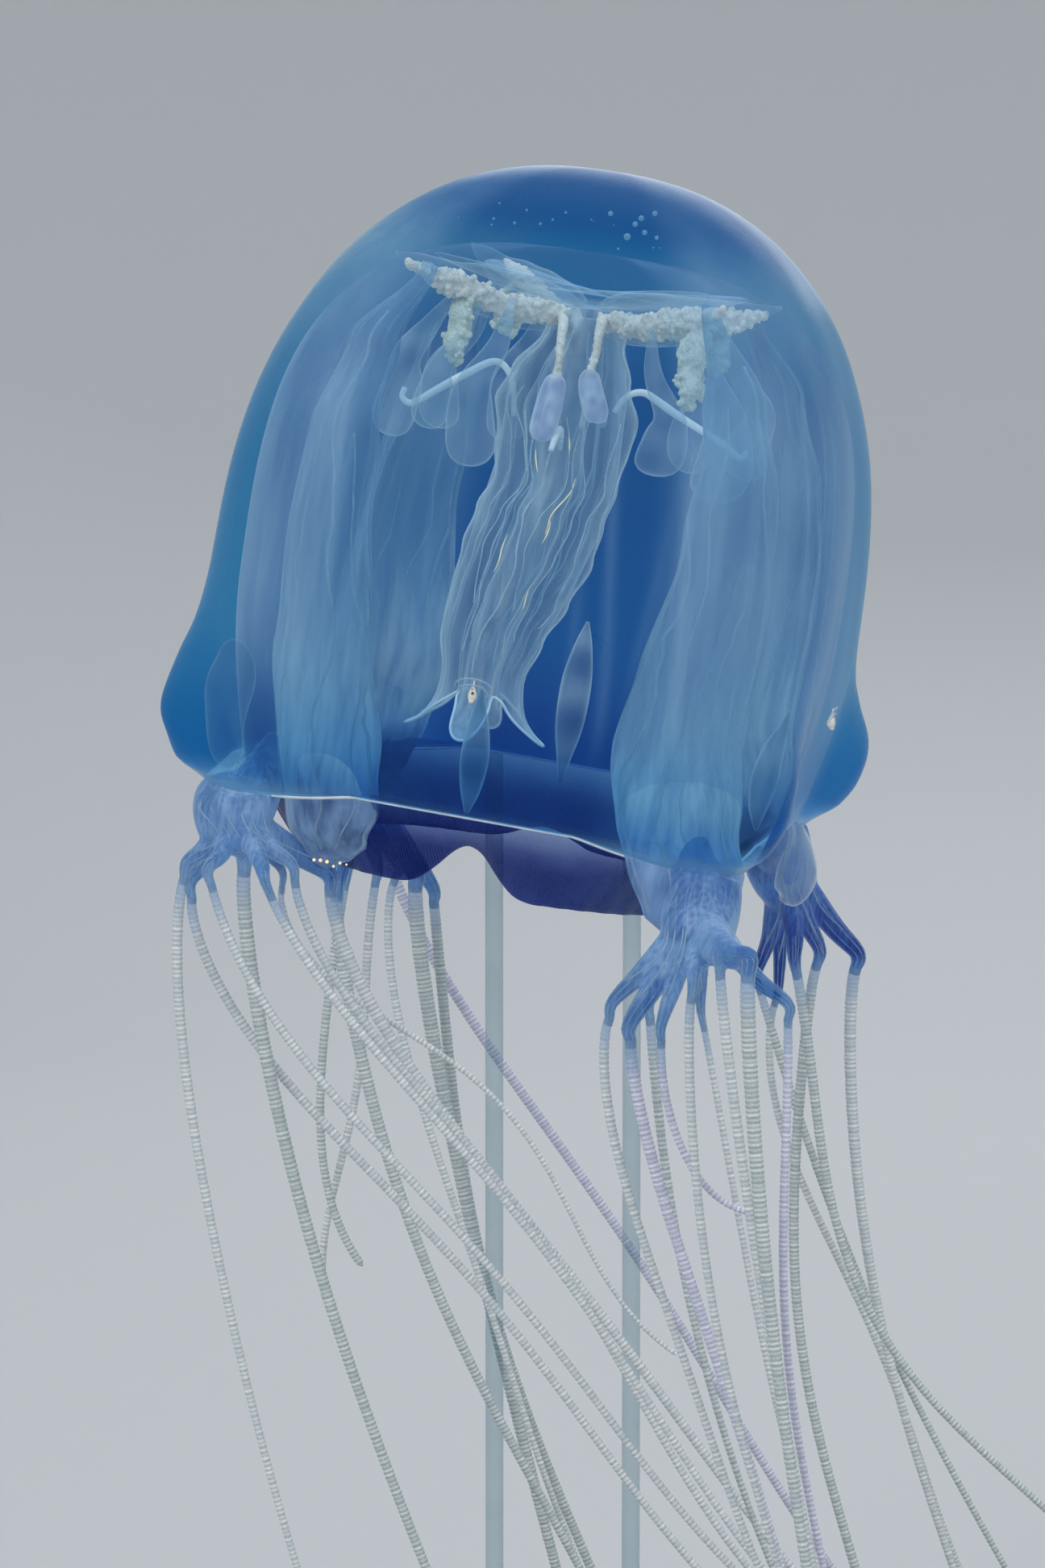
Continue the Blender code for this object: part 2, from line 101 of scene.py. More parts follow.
def matt_paper():
    """Uncoated backdrop paper: flat, even and a little fibrous."""
    material, tree, out = new_material("uncoated backdrop paper")
    place = add_node(tree, "TexCoord").outputs["Object"]
    fibre = add_node(tree, "TexNoise", {"Vector": place, "Scale": 900.0, "Detail": 3.0})
    tone = add_node(
        tree, "Mix", {"Factor": fibre.outputs["Fac"], 6: linear("#bcc0c3"), 7: linear("#bfc3c6")},
        data_type="RGBA",
    )
    paper = add_node(tree, "BsdfPrincipled", {"Base Color": tone.outputs[2], "Roughness": 0.9})
    tree.links.new(paper.outputs[0], out.inputs[0])
    return material


COVE_RADIUS, COVE_BEND, COVE_HEIGHT = 3.4, 1.3, 4.2  # metres
COVE_SINK = 0.0003  # the paper lies this far under the stand's base
cove_shape = bmesh.new()
rim = [(0.0, 0.0), (0.7, 0.0), (COVE_RADIUS - COVE_BEND, 0.0)]
rim += [
    (
        COVE_RADIUS - COVE_BEND * (1.0 - math.sin(math.radians(step))),
        COVE_BEND * (1.0 - math.cos(math.radians(step))),
    )
    for step in range(10, 91, 10)
]
rim.append((COVE_RADIUS, COVE_HEIGHT))
rim_verts = [cove_shape.verts.new((reach, 0.0, height - COVE_SINK)) for reach, height in rim]
rim_edges = [cove_shape.edges.new(pair) for pair in zip(rim_verts, rim_verts[1:])]
bmesh.ops.spin(
    cove_shape, geom=rim_verts + rim_edges, cent=(0, 0, 0), axis=(0, 0, 1), angle=2 * math.pi, steps=96,
    use_merge=True,
)
bmesh.ops.remove_doubles(cove_shape, verts=cove_shape.verts, dist=1e-5)
bmesh.ops.recalc_face_normals(cove_shape, faces=cove_shape.faces)
for face in cove_shape.faces:
    face.smooth = True
cove_mesh = bpy.data.meshes.new("paper_cove")
cove_shape.to_mesh(cove_mesh)
cove_shape.free()
cove_mesh.materials.append(matt_paper())
cove = bpy.data.objects.new("paper_cove", cove_mesh)
bpy.context.scene.collection.objects.link(cove)

sky = bpy.data.worlds.new("studio sky")
sky.use_nodes = True
sky.node_tree.nodes["Background"].inputs["Color"].default_value = linear("#f3f5f8")
sky.node_tree.nodes["Background"].inputs["Strength"].default_value = 0.95
bpy.context.scene.world = sky

SOFT_LAMPS = {
    # name: (place in metres, width, watts)
    "key lamp": ((-1.7, -2.2, 2.3), 1.6, 36.0),
    "fill lamp": ((2.2, -1.6, 1.2), 1.6, 15.0),
    "top lamp": ((0.2, 0.6, 3.0), 2.2, 14.0),
    "back lamp": ((0.5, 2.4, 1.6), 1.6, 12.0),
}
for name, (place, width, watts) in SOFT_LAMPS.items():
    light = bpy.data.lights.new(name, "AREA")
    light.shape = "DISK"
    light.size = width
    light.energy = watts
    lamp = bpy.data.objects.new(name, light)
    lamp.location = place
    lamp.rotation_euler = (MIDDLE - Vector(place)).to_track_quat("-Z", "Y").to_euler()
    lamp.visible_camera = False
    bpy.context.scene.collection.objects.link(lamp)


# -------------------------------------------------------------------------------- stand
# A turned disc of satin black acrylic with a fine groove near its edge, and two clear acrylic rods that
# stand in steel ferrules and carry the bell at its far rim.
BASE_RADIUS, BASE_THICK = 138.0, 12.0
ROD_RADIUS = 3.0

BELL = (
    Matrix.Translation(Vector((-1.5, 0.0, 372.0)) * MM)
    @ Matrix.Rotation(math.radians(-11.1), 4, "Z")
    @ Matrix.Rotation(math.radians(9.2), 4, "Y")
    @ Matrix.Rotation(math.radians(1.9), 4, "X")
)


def finish_piece(name, shape, materials, nodes, in_bell=False):
    """Weld the shape, face it outwards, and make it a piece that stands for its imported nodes."""
    bmesh.ops.remove_doubles(shape, verts=shape.verts, dist=2e-6)
    bmesh.ops.recalc_face_normals(shape, faces=shape.faces)
    if in_bell:
        bmesh.ops.transform(shape, matrix=BELL, verts=shape.verts)
    for face in shape.faces:
        face.smooth = True
    mesh = bpy.data.meshes.new(name)
    shape.to_mesh(mesh)
    shape.free()
    for material in materials:
        mesh.materials.append(material)
    piece = bpy.data.objects.new(name, mesh)
    bpy.context.scene.collection.objects.link(piece)
    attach(piece, "root")
    if nodes:
        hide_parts(*nodes)
    return piece


def satin_acrylic():
    """Cast black acrylic, blasted to a satin: dull gloss with a fine, even tooth."""
    material, tree, out = new_material("satin black acrylic")
    place = add_node(tree, "TexCoord").outputs["Object"]
    tooth = add_node(tree, "TexNoise", {"Vector": place, "Scale": 1400.0, "Detail": 2.0})
    cloud = add_node(tree, "TexNoise", {"Vector": place, "Scale": 22.0, "Detail": 4.0})
    tone = add_node(
        tree, "Mix", {"Factor": cloud.outputs["Fac"], 6: linear("#1c1d20"), 7: linear("#26282b")},
        data_type="RGBA",
    )
    rough = add_node(tree, "MapRange", {"Value": tooth.outputs["Fac"], "To Min": 0.36, "To Max": 0.5})
    grain = add_node(tree, "Bump", {"Height": tooth.outputs["Fac"], "Strength": 0.12, "Distance": 2e-4})
    skin = add_node(
        tree, "BsdfPrincipled",
        {
            "Base Color": tone.outputs[2],
            "Roughness": rough.outputs[0],
            "Normal": grain.outputs[0],
            "IOR": 1.49,
        },
    )
    tree.links.new(skin.outputs[0], out.inputs[0])
    return material


def turned(profile, place, segments=64):
    """Spin a profile of (radius, height) pairs about an upright axis at place."""
    shape = bmesh.new()
    verts = [shape.verts.new(Vector((place[0] + r, place[1], place[2] + z)) * MM) for r, z in profile]
    edges = [shape.edges.new(pair) for pair in zip(verts, verts[1:])]
    bmesh.ops.spin(
        shape, geom=verts + edges, cent=Vector(place) * MM, axis=(0, 0, 1), angle=2 * math.pi, steps=segments,
        use_merge=True,
    )
    return shape


def upright_axis(node):
    """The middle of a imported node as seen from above, and its bottom and top, in millimetres."""
    low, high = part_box(node)
    return (low.x + high.x) / 2 / MM, (low.y + high.y) / 2 / MM, low.z / MM, high.z / MM


EDGE = 1.5
GROOVE, GROOVE_WIDE, GROOVE_DEEP = 8.0, 0.8, 0.5  # how far in from the edge, and its size
x, y, *_ = upright_axis("stand_base")
disc = turned(
    [
        (0.0, 0.0),
        (BASE_RADIUS - EDGE, 0.0),
        (BASE_RADIUS, EDGE),
        (BASE_RADIUS, BASE_THICK - EDGE),
        (BASE_RADIUS - 0.5, BASE_THICK - 0.4),
        (BASE_RADIUS - EDGE, BASE_THICK),
        (BASE_RADIUS - GROOVE, BASE_THICK),
        (BASE_RADIUS - GROOVE - GROOVE_WIDE / 2, BASE_THICK - GROOVE_DEEP),
        (BASE_RADIUS - GROOVE - GROOVE_WIDE, BASE_THICK),
        (0.0, BASE_THICK),
    ],
    (x, y, 0.0),
    segments=160,
)
base = finish_piece("base_disc", disc, [satin_acrylic()], ["stand_base"])
base.data.set_sharp_from_angle(angle=math.radians(30))


def cast_acrylic():
    """Clear cast acrylic rod, flame polished: faint grey-blue tint and a hard gloss."""
    material, tree, out = new_material("clear cast acrylic")
    place = add_node(tree, "TexCoord").outputs["Object"]
    haze = add_node(tree, "TexNoise", {"Vector": place, "Scale": 60.0, "Detail": 2.0})
    tint = add_node(
        tree, "Mix", {"Factor": haze.outputs["Fac"], 6: linear("#dfe8ec"), 7: linear("#eaf1f4")},
        data_type="RGBA",
    )
    through = add_node(tree, "BsdfTransparent", {"Color": tint.outputs[2]})
    gloss = add_node(
        tree, "BsdfPrincipled", {"Base Color": linear("#b9c4ca"), "Roughness": 0.06, "IOR": 1.49}
    )
    edge_on = add_node(tree, "LayerWeight", {"Blend": 0.42})
    share = add_node(tree, "MapRange", {"Value": edge_on.outputs["Facing"], "To Min": 0.03, "To Max": 0.4})
    mixed = add_node(tree, "MixShader", {0: share.outputs[0], 1: through.outputs[0], 2: gloss.outputs[0]})
    tree.links.new(mixed.outputs[0], out.inputs[0])
    return material


def turned_steel():
    """Bright stainless steel, turned on a lathe: fine rings round its axis."""
    material, tree, out = new_material("turned stainless steel")
    place = add_node(tree, "TexCoord").outputs["Object"]
    rings = add_node(
        tree, "TexWave", {"Vector": place, "Scale": 900.0, "Distortion": 0.6},
        wave_type="BANDS", bands_direction="Z",
    )
    rough = add_node(tree, "MapRange", {"Value": rings.outputs["Fac"], "To Min": 0.2, "To Max": 0.34})
    metal = add_node(
        tree, "BsdfPrincipled",
        {"Base Color": linear("#b8bbbe"), "Metallic": 1.0, "Roughness": rough.outputs[0]},
    )
    tree.links.new(metal.outputs[0], out.inputs[0])
    return material


ACRYLIC, STEEL = cast_acrylic(), turned_steel()
ROD_CHAMFER = 0.6
FERRULE_BORE, FERRULE_RADIUS, FERRULE_HEIGHT, FERRULE_CHAMFER = 3.1, 6.4, 6.2, (0.8, 1.0)
for side in ("left", "right"):
    x, y, bottom, top = upright_axis(f"stand_rod_{side}")
    rod = turned(
        [
            (0.0, 0.0),
            (ROD_RADIUS, 0.0),
            (ROD_RADIUS, top - bottom - ROD_CHAMFER),
            (ROD_RADIUS - ROD_CHAMFER, top - bottom),
            (0.0, top - bottom),
        ],
        (x, y, bottom),
        segments=40,
    )
    piece = finish_piece(f"acrylic_rod_{side}", rod, [ACRYLIC], [f"stand_rod_{side}"])
    piece.data.set_sharp_from_angle(angle=math.radians(35))
    ferrule = turned(
        [
            (FERRULE_BORE, 0.0),
            (FERRULE_RADIUS, 0.0),
            (FERRULE_RADIUS, FERRULE_HEIGHT - FERRULE_CHAMFER[1]),
            (FERRULE_RADIUS - FERRULE_CHAMFER[0], FERRULE_HEIGHT),
            (FERRULE_BORE, FERRULE_HEIGHT),
            (FERRULE_BORE, 0.0),
        ],
        (x, y, BASE_THICK),
        segments=48,
    )
    piece = finish_piece(f"steel_ferrule_{side}", ferrule, [STEEL], [])
    piece.data.set_sharp_from_angle(angle=math.radians(35))


# --------------------------------------------------------------------------------- bell
# The bell is a rounded cube of clear blue jelly, open below and swelling into a lobe over each pedalium.
# It is nearly all water, so it tints what lies behind it; its skin is faintly milky on the shoulders and
# pales where it is seen edge on.
BELL_HEIGHT = 191.0
FACE_RADIUS = 93.0
CORNER_RATIO, APEX_RATIO = 1.231, 1.05
SHOULDER = 60.0
DOME_POWER = 2.42
MARGIN_TUCK = 0.10
ROOF_HEIGHT, ROOF_POWER = 166.0, 3.1
FACE_WALL, CORNER_WALL = 5.0, 12.0
LOBE_FLARE, LOBE_HEIGHT, LOBE_SPREAD, LOBE_DROP = 18.0, 17.0, 24.0, 5.0
FULLER_LOBE = 5.0  # the right far lobe swells this much more than the others
SECTORS = 360


def eased(value, start, end):
    """Nought at start, one at end, with soft ends; start may be above end."""
    share = min(max((value - start) / (end - start), 0.0), 1.0)
    return share * share * (3.0 - 2.0 * share)


def dome_share(height, top, power):
    """How much of its full width a dome has left at a height: one up to the shoulder, nought at the top."""
    if height <= SHOULDER:
        return 1.0
    rise = min((height - SHOULDER) / (top - SHOULDER), 1.0)
    return (1.0 - rise**power) ** (1.0 / power)


def straight_face(height):
    """How far a face's wall stands from the axis. It is tucked in towards the margin."""
    return FACE_RADIUS * (1.0 - MARGIN_TUCK * max(0.0, 1.0 - height / SHOULDER) ** 2)


def corner_share(turn):
    """Nought on a flat face, one at the middle of a corner."""
    return max(0.0, -math.cos(4.0 * turn))


def squared(face, ratio, turn):
    """Radius of a rounded square whose flats are at face and whose corners are at face * ratio."""
    power = 1.0 / (0.5 - math.log2(ratio))
    return face / (abs(math.cos(turn)) ** power + abs(math.sin(turn)) ** power) ** (1.0 / power)


def turns(count=SECTORS):
    """Bearings at even steps, once round."""
    return [2.0 * math.pi * i / count for i in range(count)]


def dome_heights(top, power, low_step, count):
    """Levels that lie evenly down the wall and round the dome."""
    wall = [low_step * i for i in range(int(SHOULDER / low_step))]
    rises = [math.sin(math.pi / 2 * i / count) ** (2.0 / power) for i in range(count)]
    return wall + [SHOULDER + (top - SHOULDER) * rise for rise in rises]


def wavering(x, y, z, size, seed=0.0):
    """Soft natural unevenness, from -1 to 1, with lumps of about the given size in millimetres."""
    return noise.noise(Vector((x / size + seed, y / size, z / size)))


def bell_ring(height):
    """The outer skin at a height: a rounded square with a soft, ruffled lobe at each corner."""
    share = height / BELL_HEIGHT
    dome = dome_share(height, BELL_HEIGHT, DOME_POWER)
    ratio = APEX_RATIO + (CORNER_RATIO - APEX_RATIO) * dome**1.5
    swell = math.exp(-(((height - LOBE_HEIGHT) / LOBE_SPREAD) ** 2)) * min(1.0, 0.45 + share / 0.05)
    ring = []
    for turn in turns():
        corner = corner_share(turn)
        flare = LOBE_FLARE + FULLER_LOBE * max(0.0, math.cos(turn - math.pi / 4)) ** 8
        radius = squared(straight_face(height) * dome, ratio, turn) + flare * swell * corner**2.5
        x, y = radius * math.cos(turn), radius * math.sin(turn)
        ruffle = (0.9 * wavering(x, y, height, 9.0) + 0.8 * wavering(x, y, height, 21.0)) * corner * swell
        scale = 1.0 + (ruffle + 0.5 * dome * wavering(x, y, height, 38.0, 5.0) - 0.4) / max(radius, 1.0)
        ring.append((x * scale, y * scale, height - LOBE_DROP * (1.0 - share) ** 8 * corner))
    return ring


def cavity_ring(height):
    """The lining at a height, inside a wall that is thin on the faces and thick at the corners."""
    share = dome_share(height, ROOF_HEIGHT, ROOF_POWER)
    face = (straight_face(height) - FACE_WALL) * share
    corner = (straight_face(height) * CORNER_RATIO - CORNER_WALL) * share
    ratio = 1.03 + (corner / face - 1.03) * share
    drop = 4.0 * max(0.0, 1.0 - height / 20.0)
    ring = []
    for turn in turns():
        radius = squared(face, ratio, turn)
        ring.append((radius * math.cos(turn), radius * math.sin(turn), height - drop * corner_share(turn)))
    return ring


def start_ring(shape, ring):
    """A closed ring of vertices, each of which keeps its number round the ring."""
    number = shape.verts.layers.int.get("number") or shape.verts.layers.int.new("number")
    verts = bmesh.ops.create_circle(shape, cap_ends=False, segments=len(ring), radius=1.0)["verts"]
    for i, vert in enumerate(verts):
        vert[number] = i
        vert.co = Vector(ring[i]) * MM
    return list({edge for vert in verts for edge in vert.link_edges})


def draw_out(shape, edges, rings):
    """Extrude an open ring through each of the rings in turn, and give back the last one's edges."""
    number = shape.verts.layers.int["number"]
    for ring in rings:
        made = bmesh.ops.extrude_edge_only(shape, edges=edges)["geom"]
        fresh = {item for item in made if isinstance(item, bmesh.types.BMVert)}
        made_edges = [item for item in made if isinstance(item, bmesh.types.BMEdge)]
        edges = [edge for edge in made_edges if fresh.issuperset(edge.verts)]
        for vert in fresh:
            vert.co = Vector(ring[vert[number]]) * MM
    return edges


def close_end(shape, edges, point=None):
    """Close an open ring with a fan of faces about its middle, or about a given point."""
    cap = bmesh.ops.contextual_create(shape, geom=edges)["faces"]
    middle = bmesh.ops.poke(shape, faces=cap)["verts"][0]
    if point:
        middle.co = Vector(point) * MM


def mark(shape, name, measure):
    """Give each vertex a named value, worked out from its place in millimetres."""
    layer = shape.verts.layers.float.get(name) or shape.verts.layers.float.new(name)
    for vert in shape.verts:
        vert[layer] = measure(*(vert.co / MM))


def clear_tissue(
    name, tints, body, pale, haze=(0.03, 0.5, 0.4), edge=(0.3, 2.5), streaks=0.0, strand=7.0,
    rough=0.3, front=None, back=None
):
    """Wet clear tissue. Light that passes takes one of three tints, clear, half deep and deep, by the mark
    'deep'; front and back tint it further where one side of the skin is met, as far as the mark 'glow' says.
    The mark 'milk' and a grazing view add a milky veil, from body to pale: haze is its share at rest, at full
    milk and edge on. Streaks are the share of the veil drawn into strands along the bell, each about as
    wide as strand says, in millimetres."""
    material, tree, out = new_material(name)
    milk = add_node(tree, "Attribute", attribute_name="milk").outputs["Fac"]
    depth = add_node(tree, "Attribute", attribute_name="deep").outputs["Fac"]
    place = add_node(tree, "TexCoord").outputs["Object"]
    along = add_node(
        tree, "Mapping",
        {
            "Vector": place,
            "Location": BELL.translation,
            "Rotation": BELL.to_euler(),
            "Scale": (1.0, 1.0, 9.0),  # strands nine times as long as they are wide
        },
        vector_type="TEXTURE",
    ).outputs[0]
    strands = add_node(
        tree, "TexNoise", {"Vector": along, "Scale": 1.0 / (strand * MM), "Detail": 3.0, "Roughness": 0.5}
    ).outputs["Fac"]
    spread = add_node(
        tree, "MapRange",
        {
            "Value": strands,
            "From Min": 0.34,
            "From Max": 0.68,
            "To Min": 1.0 - streaks,
            "To Max": 1.0 + streaks,
        },
    ).outputs[0]
    veil = add_node(tree, "Math", {0: milk, 1: spread}, operation="MULTIPLY").outputs[0]
    facing = add_node(tree, "LayerWeight", {"Blend": edge[0]}).outputs["Facing"]
    rim = add_node(tree, "Math", {0: facing, 1: edge[1]}, operation="POWER").outputs[0]
    if front or back:
        glow = add_node(tree, "Attribute", attribute_name="glow").outputs["Fac"]
        rim = add_node(tree, "Math", {0: rim, 1: glow}, operation="MULTIPLY").outputs[0]
    rest = add_node(tree, "Math", {0: veil, 1: haze[1], 2: haze[0]}, operation="MULTIPLY_ADD").outputs[0]
    share = add_node(
        tree, "Math", {0: rim, 1: haze[2], 2: rest}, operation="MULTIPLY_ADD", use_clamp=True
    ).outputs[0]
    shallow = add_node(tree, "Math", {0: depth, 1: 2.0}, operation="MULTIPLY", use_clamp=True).outputs[0]
    beyond = add_node(
        tree, "Math", {0: depth, 1: 2.0, 2: -1.0}, operation="MULTIPLY_ADD", use_clamp=True
    ).outputs[0]
    tint = add_node(
        tree, "Mix", {"Factor": shallow, 6: linear(tints[0]), 7: linear(tints[1])}, data_type="RGBA"
    ).outputs[2]
    tint = add_node(
        tree, "Mix", {"Factor": beyond, 6: tint, 7: linear(tints[2])}, data_type="RGBA"
    ).outputs[2]
    if front or back:
        side = add_node(tree, "NewGeometry").outputs["Backfacing"]
        sided = add_node(
            tree, "Mix", {"Factor": side, 6: linear(front or "#ffffff"), 7: linear(back or "#ffffff")},
            data_type="RGBA",
        ).outputs[2]
        tint = add_node(
            tree, "Mix", {"Factor": glow, 6: tint, 7: sided}, data_type="RGBA", blend_type="MULTIPLY"
        ).outputs[2]
    whiteness = add_node(tree, "Math", {0: veil, 1: rim}, operation="ADD", use_clamp=True).outputs[0]
    colour = add_node(
        tree, "Mix", {"Factor": whiteness, 6: linear(body), 7: linear(pale)}, data_type="RGBA"
    ).outputs[2]
    colour = add_node(
        tree, "Mix", {"Factor": depth, 6: colour, 7: tint}, data_type="RGBA", blend_type="MULTIPLY"
    ).outputs[2]
    through = add_node(tree, "BsdfTransparent", {"Color": tint})
    wet = add_node(tree, "BsdfPrincipled", {"Base Color": colour, "Roughness": rough, "IOR": 1.35})
    mixed = add_node(tree, "MixShader", {0: share, 1: through.outputs[0], 2: wet.outputs[0]})
    tree.links.new(mixed.outputs[0], out.inputs[0])
    return material


def lets_lamps_in(piece):
    """The jelly is so clear that lamps light the organs inside as if it weren't there."""
    piece.visible_shadow = False
    piece.visible_diffuse = False


def polar(x, y):
    """Bearing and reach of a place, seen along the bell's axis."""
    return math.atan2(y, x), math.hypot(x, y)


def bell_milk(x, y, z):
    """The outer skin is milky on the four shoulders and along the margin."""
    corner = corner_share(polar(x, y)[0])
    shoulder = 0.38 * eased(corner, 0.0, 0.85) * eased(z, 90, 145) * (1.0 - 0.6 * eased(z, 165, 188))
    margin = 0.8 * eased(z, 3.0, -3.0)
    return min(1.0, shoulder * (1.0 + 0.6 * wavering(x, y, z, 34.0)) + margin + 0.08)


def bell_depth(x, y, z):
    """The jelly is deepest blue in the crown and in the lower wall."""
    corner = corner_share(polar(x, y)[0])
    dome = 0.6 * eased(z, 157, 176)
    return min(1.0, dome + eased(z, 46, 4) * (0.55 - 0.2 * corner) + 0.12 * corner * eased(z, 70, 20))


outer_levels = dome_heights(BELL_HEIGHT, DOME_POWER, 1.5, 40)
inner_levels = dome_heights(ROOF_HEIGHT, ROOF_POWER, 3.0, 34)
bell_shape = bmesh.new()
margin = start_ring(bell_shape, bell_ring(0.0))
top = draw_out(bell_shape, margin, [bell_ring(h) for h in outer_levels[1:]])
close_end(bell_shape, top, (0, 0, BELL_HEIGHT))
mark(bell_shape, "milk", bell_milk)
mark(bell_shape, "deep", bell_depth)
mark(bell_shape, "glow", lambda x, y, z: 1.0)
outer_faces = set(bell_shape.faces)
inner = draw_out(bell_shape, margin, [cavity_ring(h) for h in inner_levels])
close_end(bell_shape, inner, (0, 0, ROOF_HEIGHT))


def lining_milk(x, y, z):
    """The lining is milky over the corners and clear down the middle of each face."""
    turn, _ = polar(x, y)
    corner = corner_share(turn)
    side = eased(corner, 0.2, 0.85)
    off = math.degrees((turn % (math.pi / 2)) - math.pi / 4)
    pleats = sum(
        strength * math.exp(-(((off - start - 2.5 * math.sin(z / 37.0 + start)) / 1.1) ** 2))
        for start, strength in ((-31, 0.2), (-24, 0.35), (-11, 0.3), (13, 0.25), (22, 0.4), (33, 0.2))
    )
    cloud = 1.0 + 0.5 * wavering(x, y, z / 2.5, 18.0, 3.0)
    low_down = 0.35 + 0.65 * eased(z, 8, 44)
    pleated = pleats * eased(z, 156, 110) * eased(z, 12, 40)
    return min(1.0, side * (0.66 - 0.46 * eased(z, 105, 150)) * cloud * low_down + pleated)


def lining_depth(x, y, z):
    """The lining is deepest blue low on the faces, between the pillars."""
    corner = corner_share(polar(x, y)[0])
    return 0.6 * eased(z, 44, 4) * (1.0 - 0.95 * eased(corner, 0.0, 0.6))


def lining_glow(x, y, z):
    """The lining's own blue fades out towards the roof, where it lies against the thick dome."""
    return 1.0 - 0.9 * eased(z, 118, 160)


LINING_MARKS = {"milk": lining_milk, "deep": lining_depth, "glow": lining_glow}
lining_verts = {vert for face in set(bell_shape.faces) - outer_faces for vert in face.verts}
lining_verts -= {vert for face in outer_faces for vert in face.verts}
for name, measure in LINING_MARKS.items():
    layer = bell_shape.verts.layers.float[name]
    for vert in lining_verts:
        vert[layer] = measure(*(vert.co / MM))
for face in bell_shape.faces:
    face.material_index = 0 if face in outer_faces else 1

JELLY = clear_tissue(
    "clear blue mesogloea", ("#ddeff9", "#9ad4f0", "#7ca6e0"), body="#5b92c6", pale="#9bbfd4",
    haze=(0.02, 0.5, 0.7), edge=(0.35, 3.2), streaks=0.1, rough=0.3, back="#50b8e6",
)
LINING = clear_tissue(
    "milky gastric lining", ("#e0f0f8", "#b4d2ec", "#86a4e0"), body="#76a5cf", pale="#b4d0e4",
    haze=(0.04, 0.5, 0.62), edge=(0.35, 3.0), streaks=0.16, rough=0.45, front="#4fb4e3",
)
BELL_NODES = ["bell_crown", "bell_wall"]
lets_lamps_in(finish_piece("bell_jelly", bell_shape, [JELLY, LINING], BELL_NODES, in_bell=True))


# ------------------------------------------------------------------------------ pillars
# Inside each corner a milky column of muscle and gut runs from the stomach's corner down to the pedalium,
# and ends below the margin in a rounded foot. It is soft, translucent tissue with paler edges.
def between(knots, at):
    """Follow a curve through (place, value) knots with soft bends."""
    for (start, low), (end, high) in zip(knots, knots[1:]):
        if at <= end:
            return low + (high - low) * eased(at, start, end)
    return knots[-1][1]


PILLAR_WIDTH = [(-24, 4), (-22, 11), (-17, 16), (-6, 20), (20, 23), (50, 20), (90, 16), (125, 11), (156, 3)]
PILLAR_DEPTH = [(-24, 2.5), (-22, 5), (-16, 7.5), (0, 9), (40, 8), (90, 6.5), (130, 5), (156, 2)]
HANGING = [(-24, 75), (-10, 79), (10, 83), (40, 87), (75, 90), (105, 87), (130, 79), (156, 62)]
ROOTED = [(-24, 102), (-10, 99), (6, 92), (30, 87), (75, 90), (105, 87), (130, 79), (156, 62)]


def pillar_ring(height, turn, reach_knots, swing, count=84):
    """A pillar's outline at a height: flat, fluted, and swung aside at its foot as far as swing says."""
    reach = between(reach_knots, height)
    wide, thick = between(PILLAR_WIDTH, height), between(PILLAR_DEPTH, height)
    ring = []
    for spin in turns(count):
        folds = 0.04 * math.cos(9.0 * spin) + 0.035 * math.cos(17.0 * spin + 0.05 * height)
        flute = 1.0 + folds * eased(height, 8, 45)
        out = reach + thick * math.cos(spin) * flute - 0.012 * (wide * math.sin(spin)) ** 2
        sway = 2.2 * math.sin(height / 27.0 + 3.0 * turn)
        aside = wide * math.sin(spin) * flute + sway + swing * eased(height, 40, -10)
        slope = 2.0 * math.sin(spin) * eased(height, 10, -20)
        x, y = out * math.cos(turn) - aside * math.sin(turn), out * math.sin(turn) + aside * math.cos(turn)
        ring.append((x, y, height + slope + 1.5 * math.cos(spin) * eased(height, 0, -20)))
    return ring


PILLAR = clear_tissue(
    "milky corner muscle", ("#cfe5f2", "#69adeb", "#8596d0"), body="#7ba0c1", pale="#b2cadc",
    haze=(0.04, 0.58, 0.5), edge=(0.45, 2.6), streaks=0.35, strand=4.0, rough=0.45,
)


def column_milk(x, y, z):
    """A pillar is milkiest in its foot and fades out towards the stomach."""
    clouds = 0.3 * eased(z, -12, 16) * wavering(x, y, z / 4.0, 14.0)
    return 0.38 + clouds + 0.7 * eased(z, 62, 4) - 0.2 * eased(z, 110, 145)


PILLARS = {
    # corner: (bearing, how it stands out from the axis, how far its foot swings aside)
    "right_far": (45, ROOTED, 0),
    "left_far": (135, ROOTED, 0),
    "left_near": (230, HANGING, 9),
    "right_near": (315, ROOTED, 0),
}
PILLAR_FOOT, PILLAR_STEP, PILLAR_STEPS = -24.0, 1.5, 120
for corner, (degrees, knots, swing) in PILLARS.items():
    turn = math.radians(degrees)
    column = bmesh.new()
    foot = start_ring(column, pillar_ring(PILLAR_FOOT, turn, knots, swing))
    close_end(column, foot)
    levels = [PILLAR_FOOT + PILLAR_STEP * i for i in range(1, PILLAR_STEPS + 1)]
    head = draw_out(column, foot, [pillar_ring(level, turn, knots, swing) for level in levels])
    close_end(column, head)
    mark(column, "milk", column_milk)
    mark(column, "deep", lambda x, y, z: 0.62 * eased(z, 16, -4))
    lets_lamps_in(finish_piece(f"pillar_{corner}", column, [PILLAR], [], in_bell=True))


# ----------------------------------------------------------------------------- velarium
# A thin muscular skirt hangs from the margin and narrows the mouth of the bell. It is deep indigo, drawn up
# in a notch at each face, with fine radial fibres; a pale thread of nerve and muscle marks its root.
VELARIUM_DROP, VELARIUM_NOTCH, VELARIUM_THICK = 26.0, 14.0, 1.2
VELARIUM_ROOT, VELARIUM_STEPS = 0.6, 18
FIBRE_PITCH = 0.8


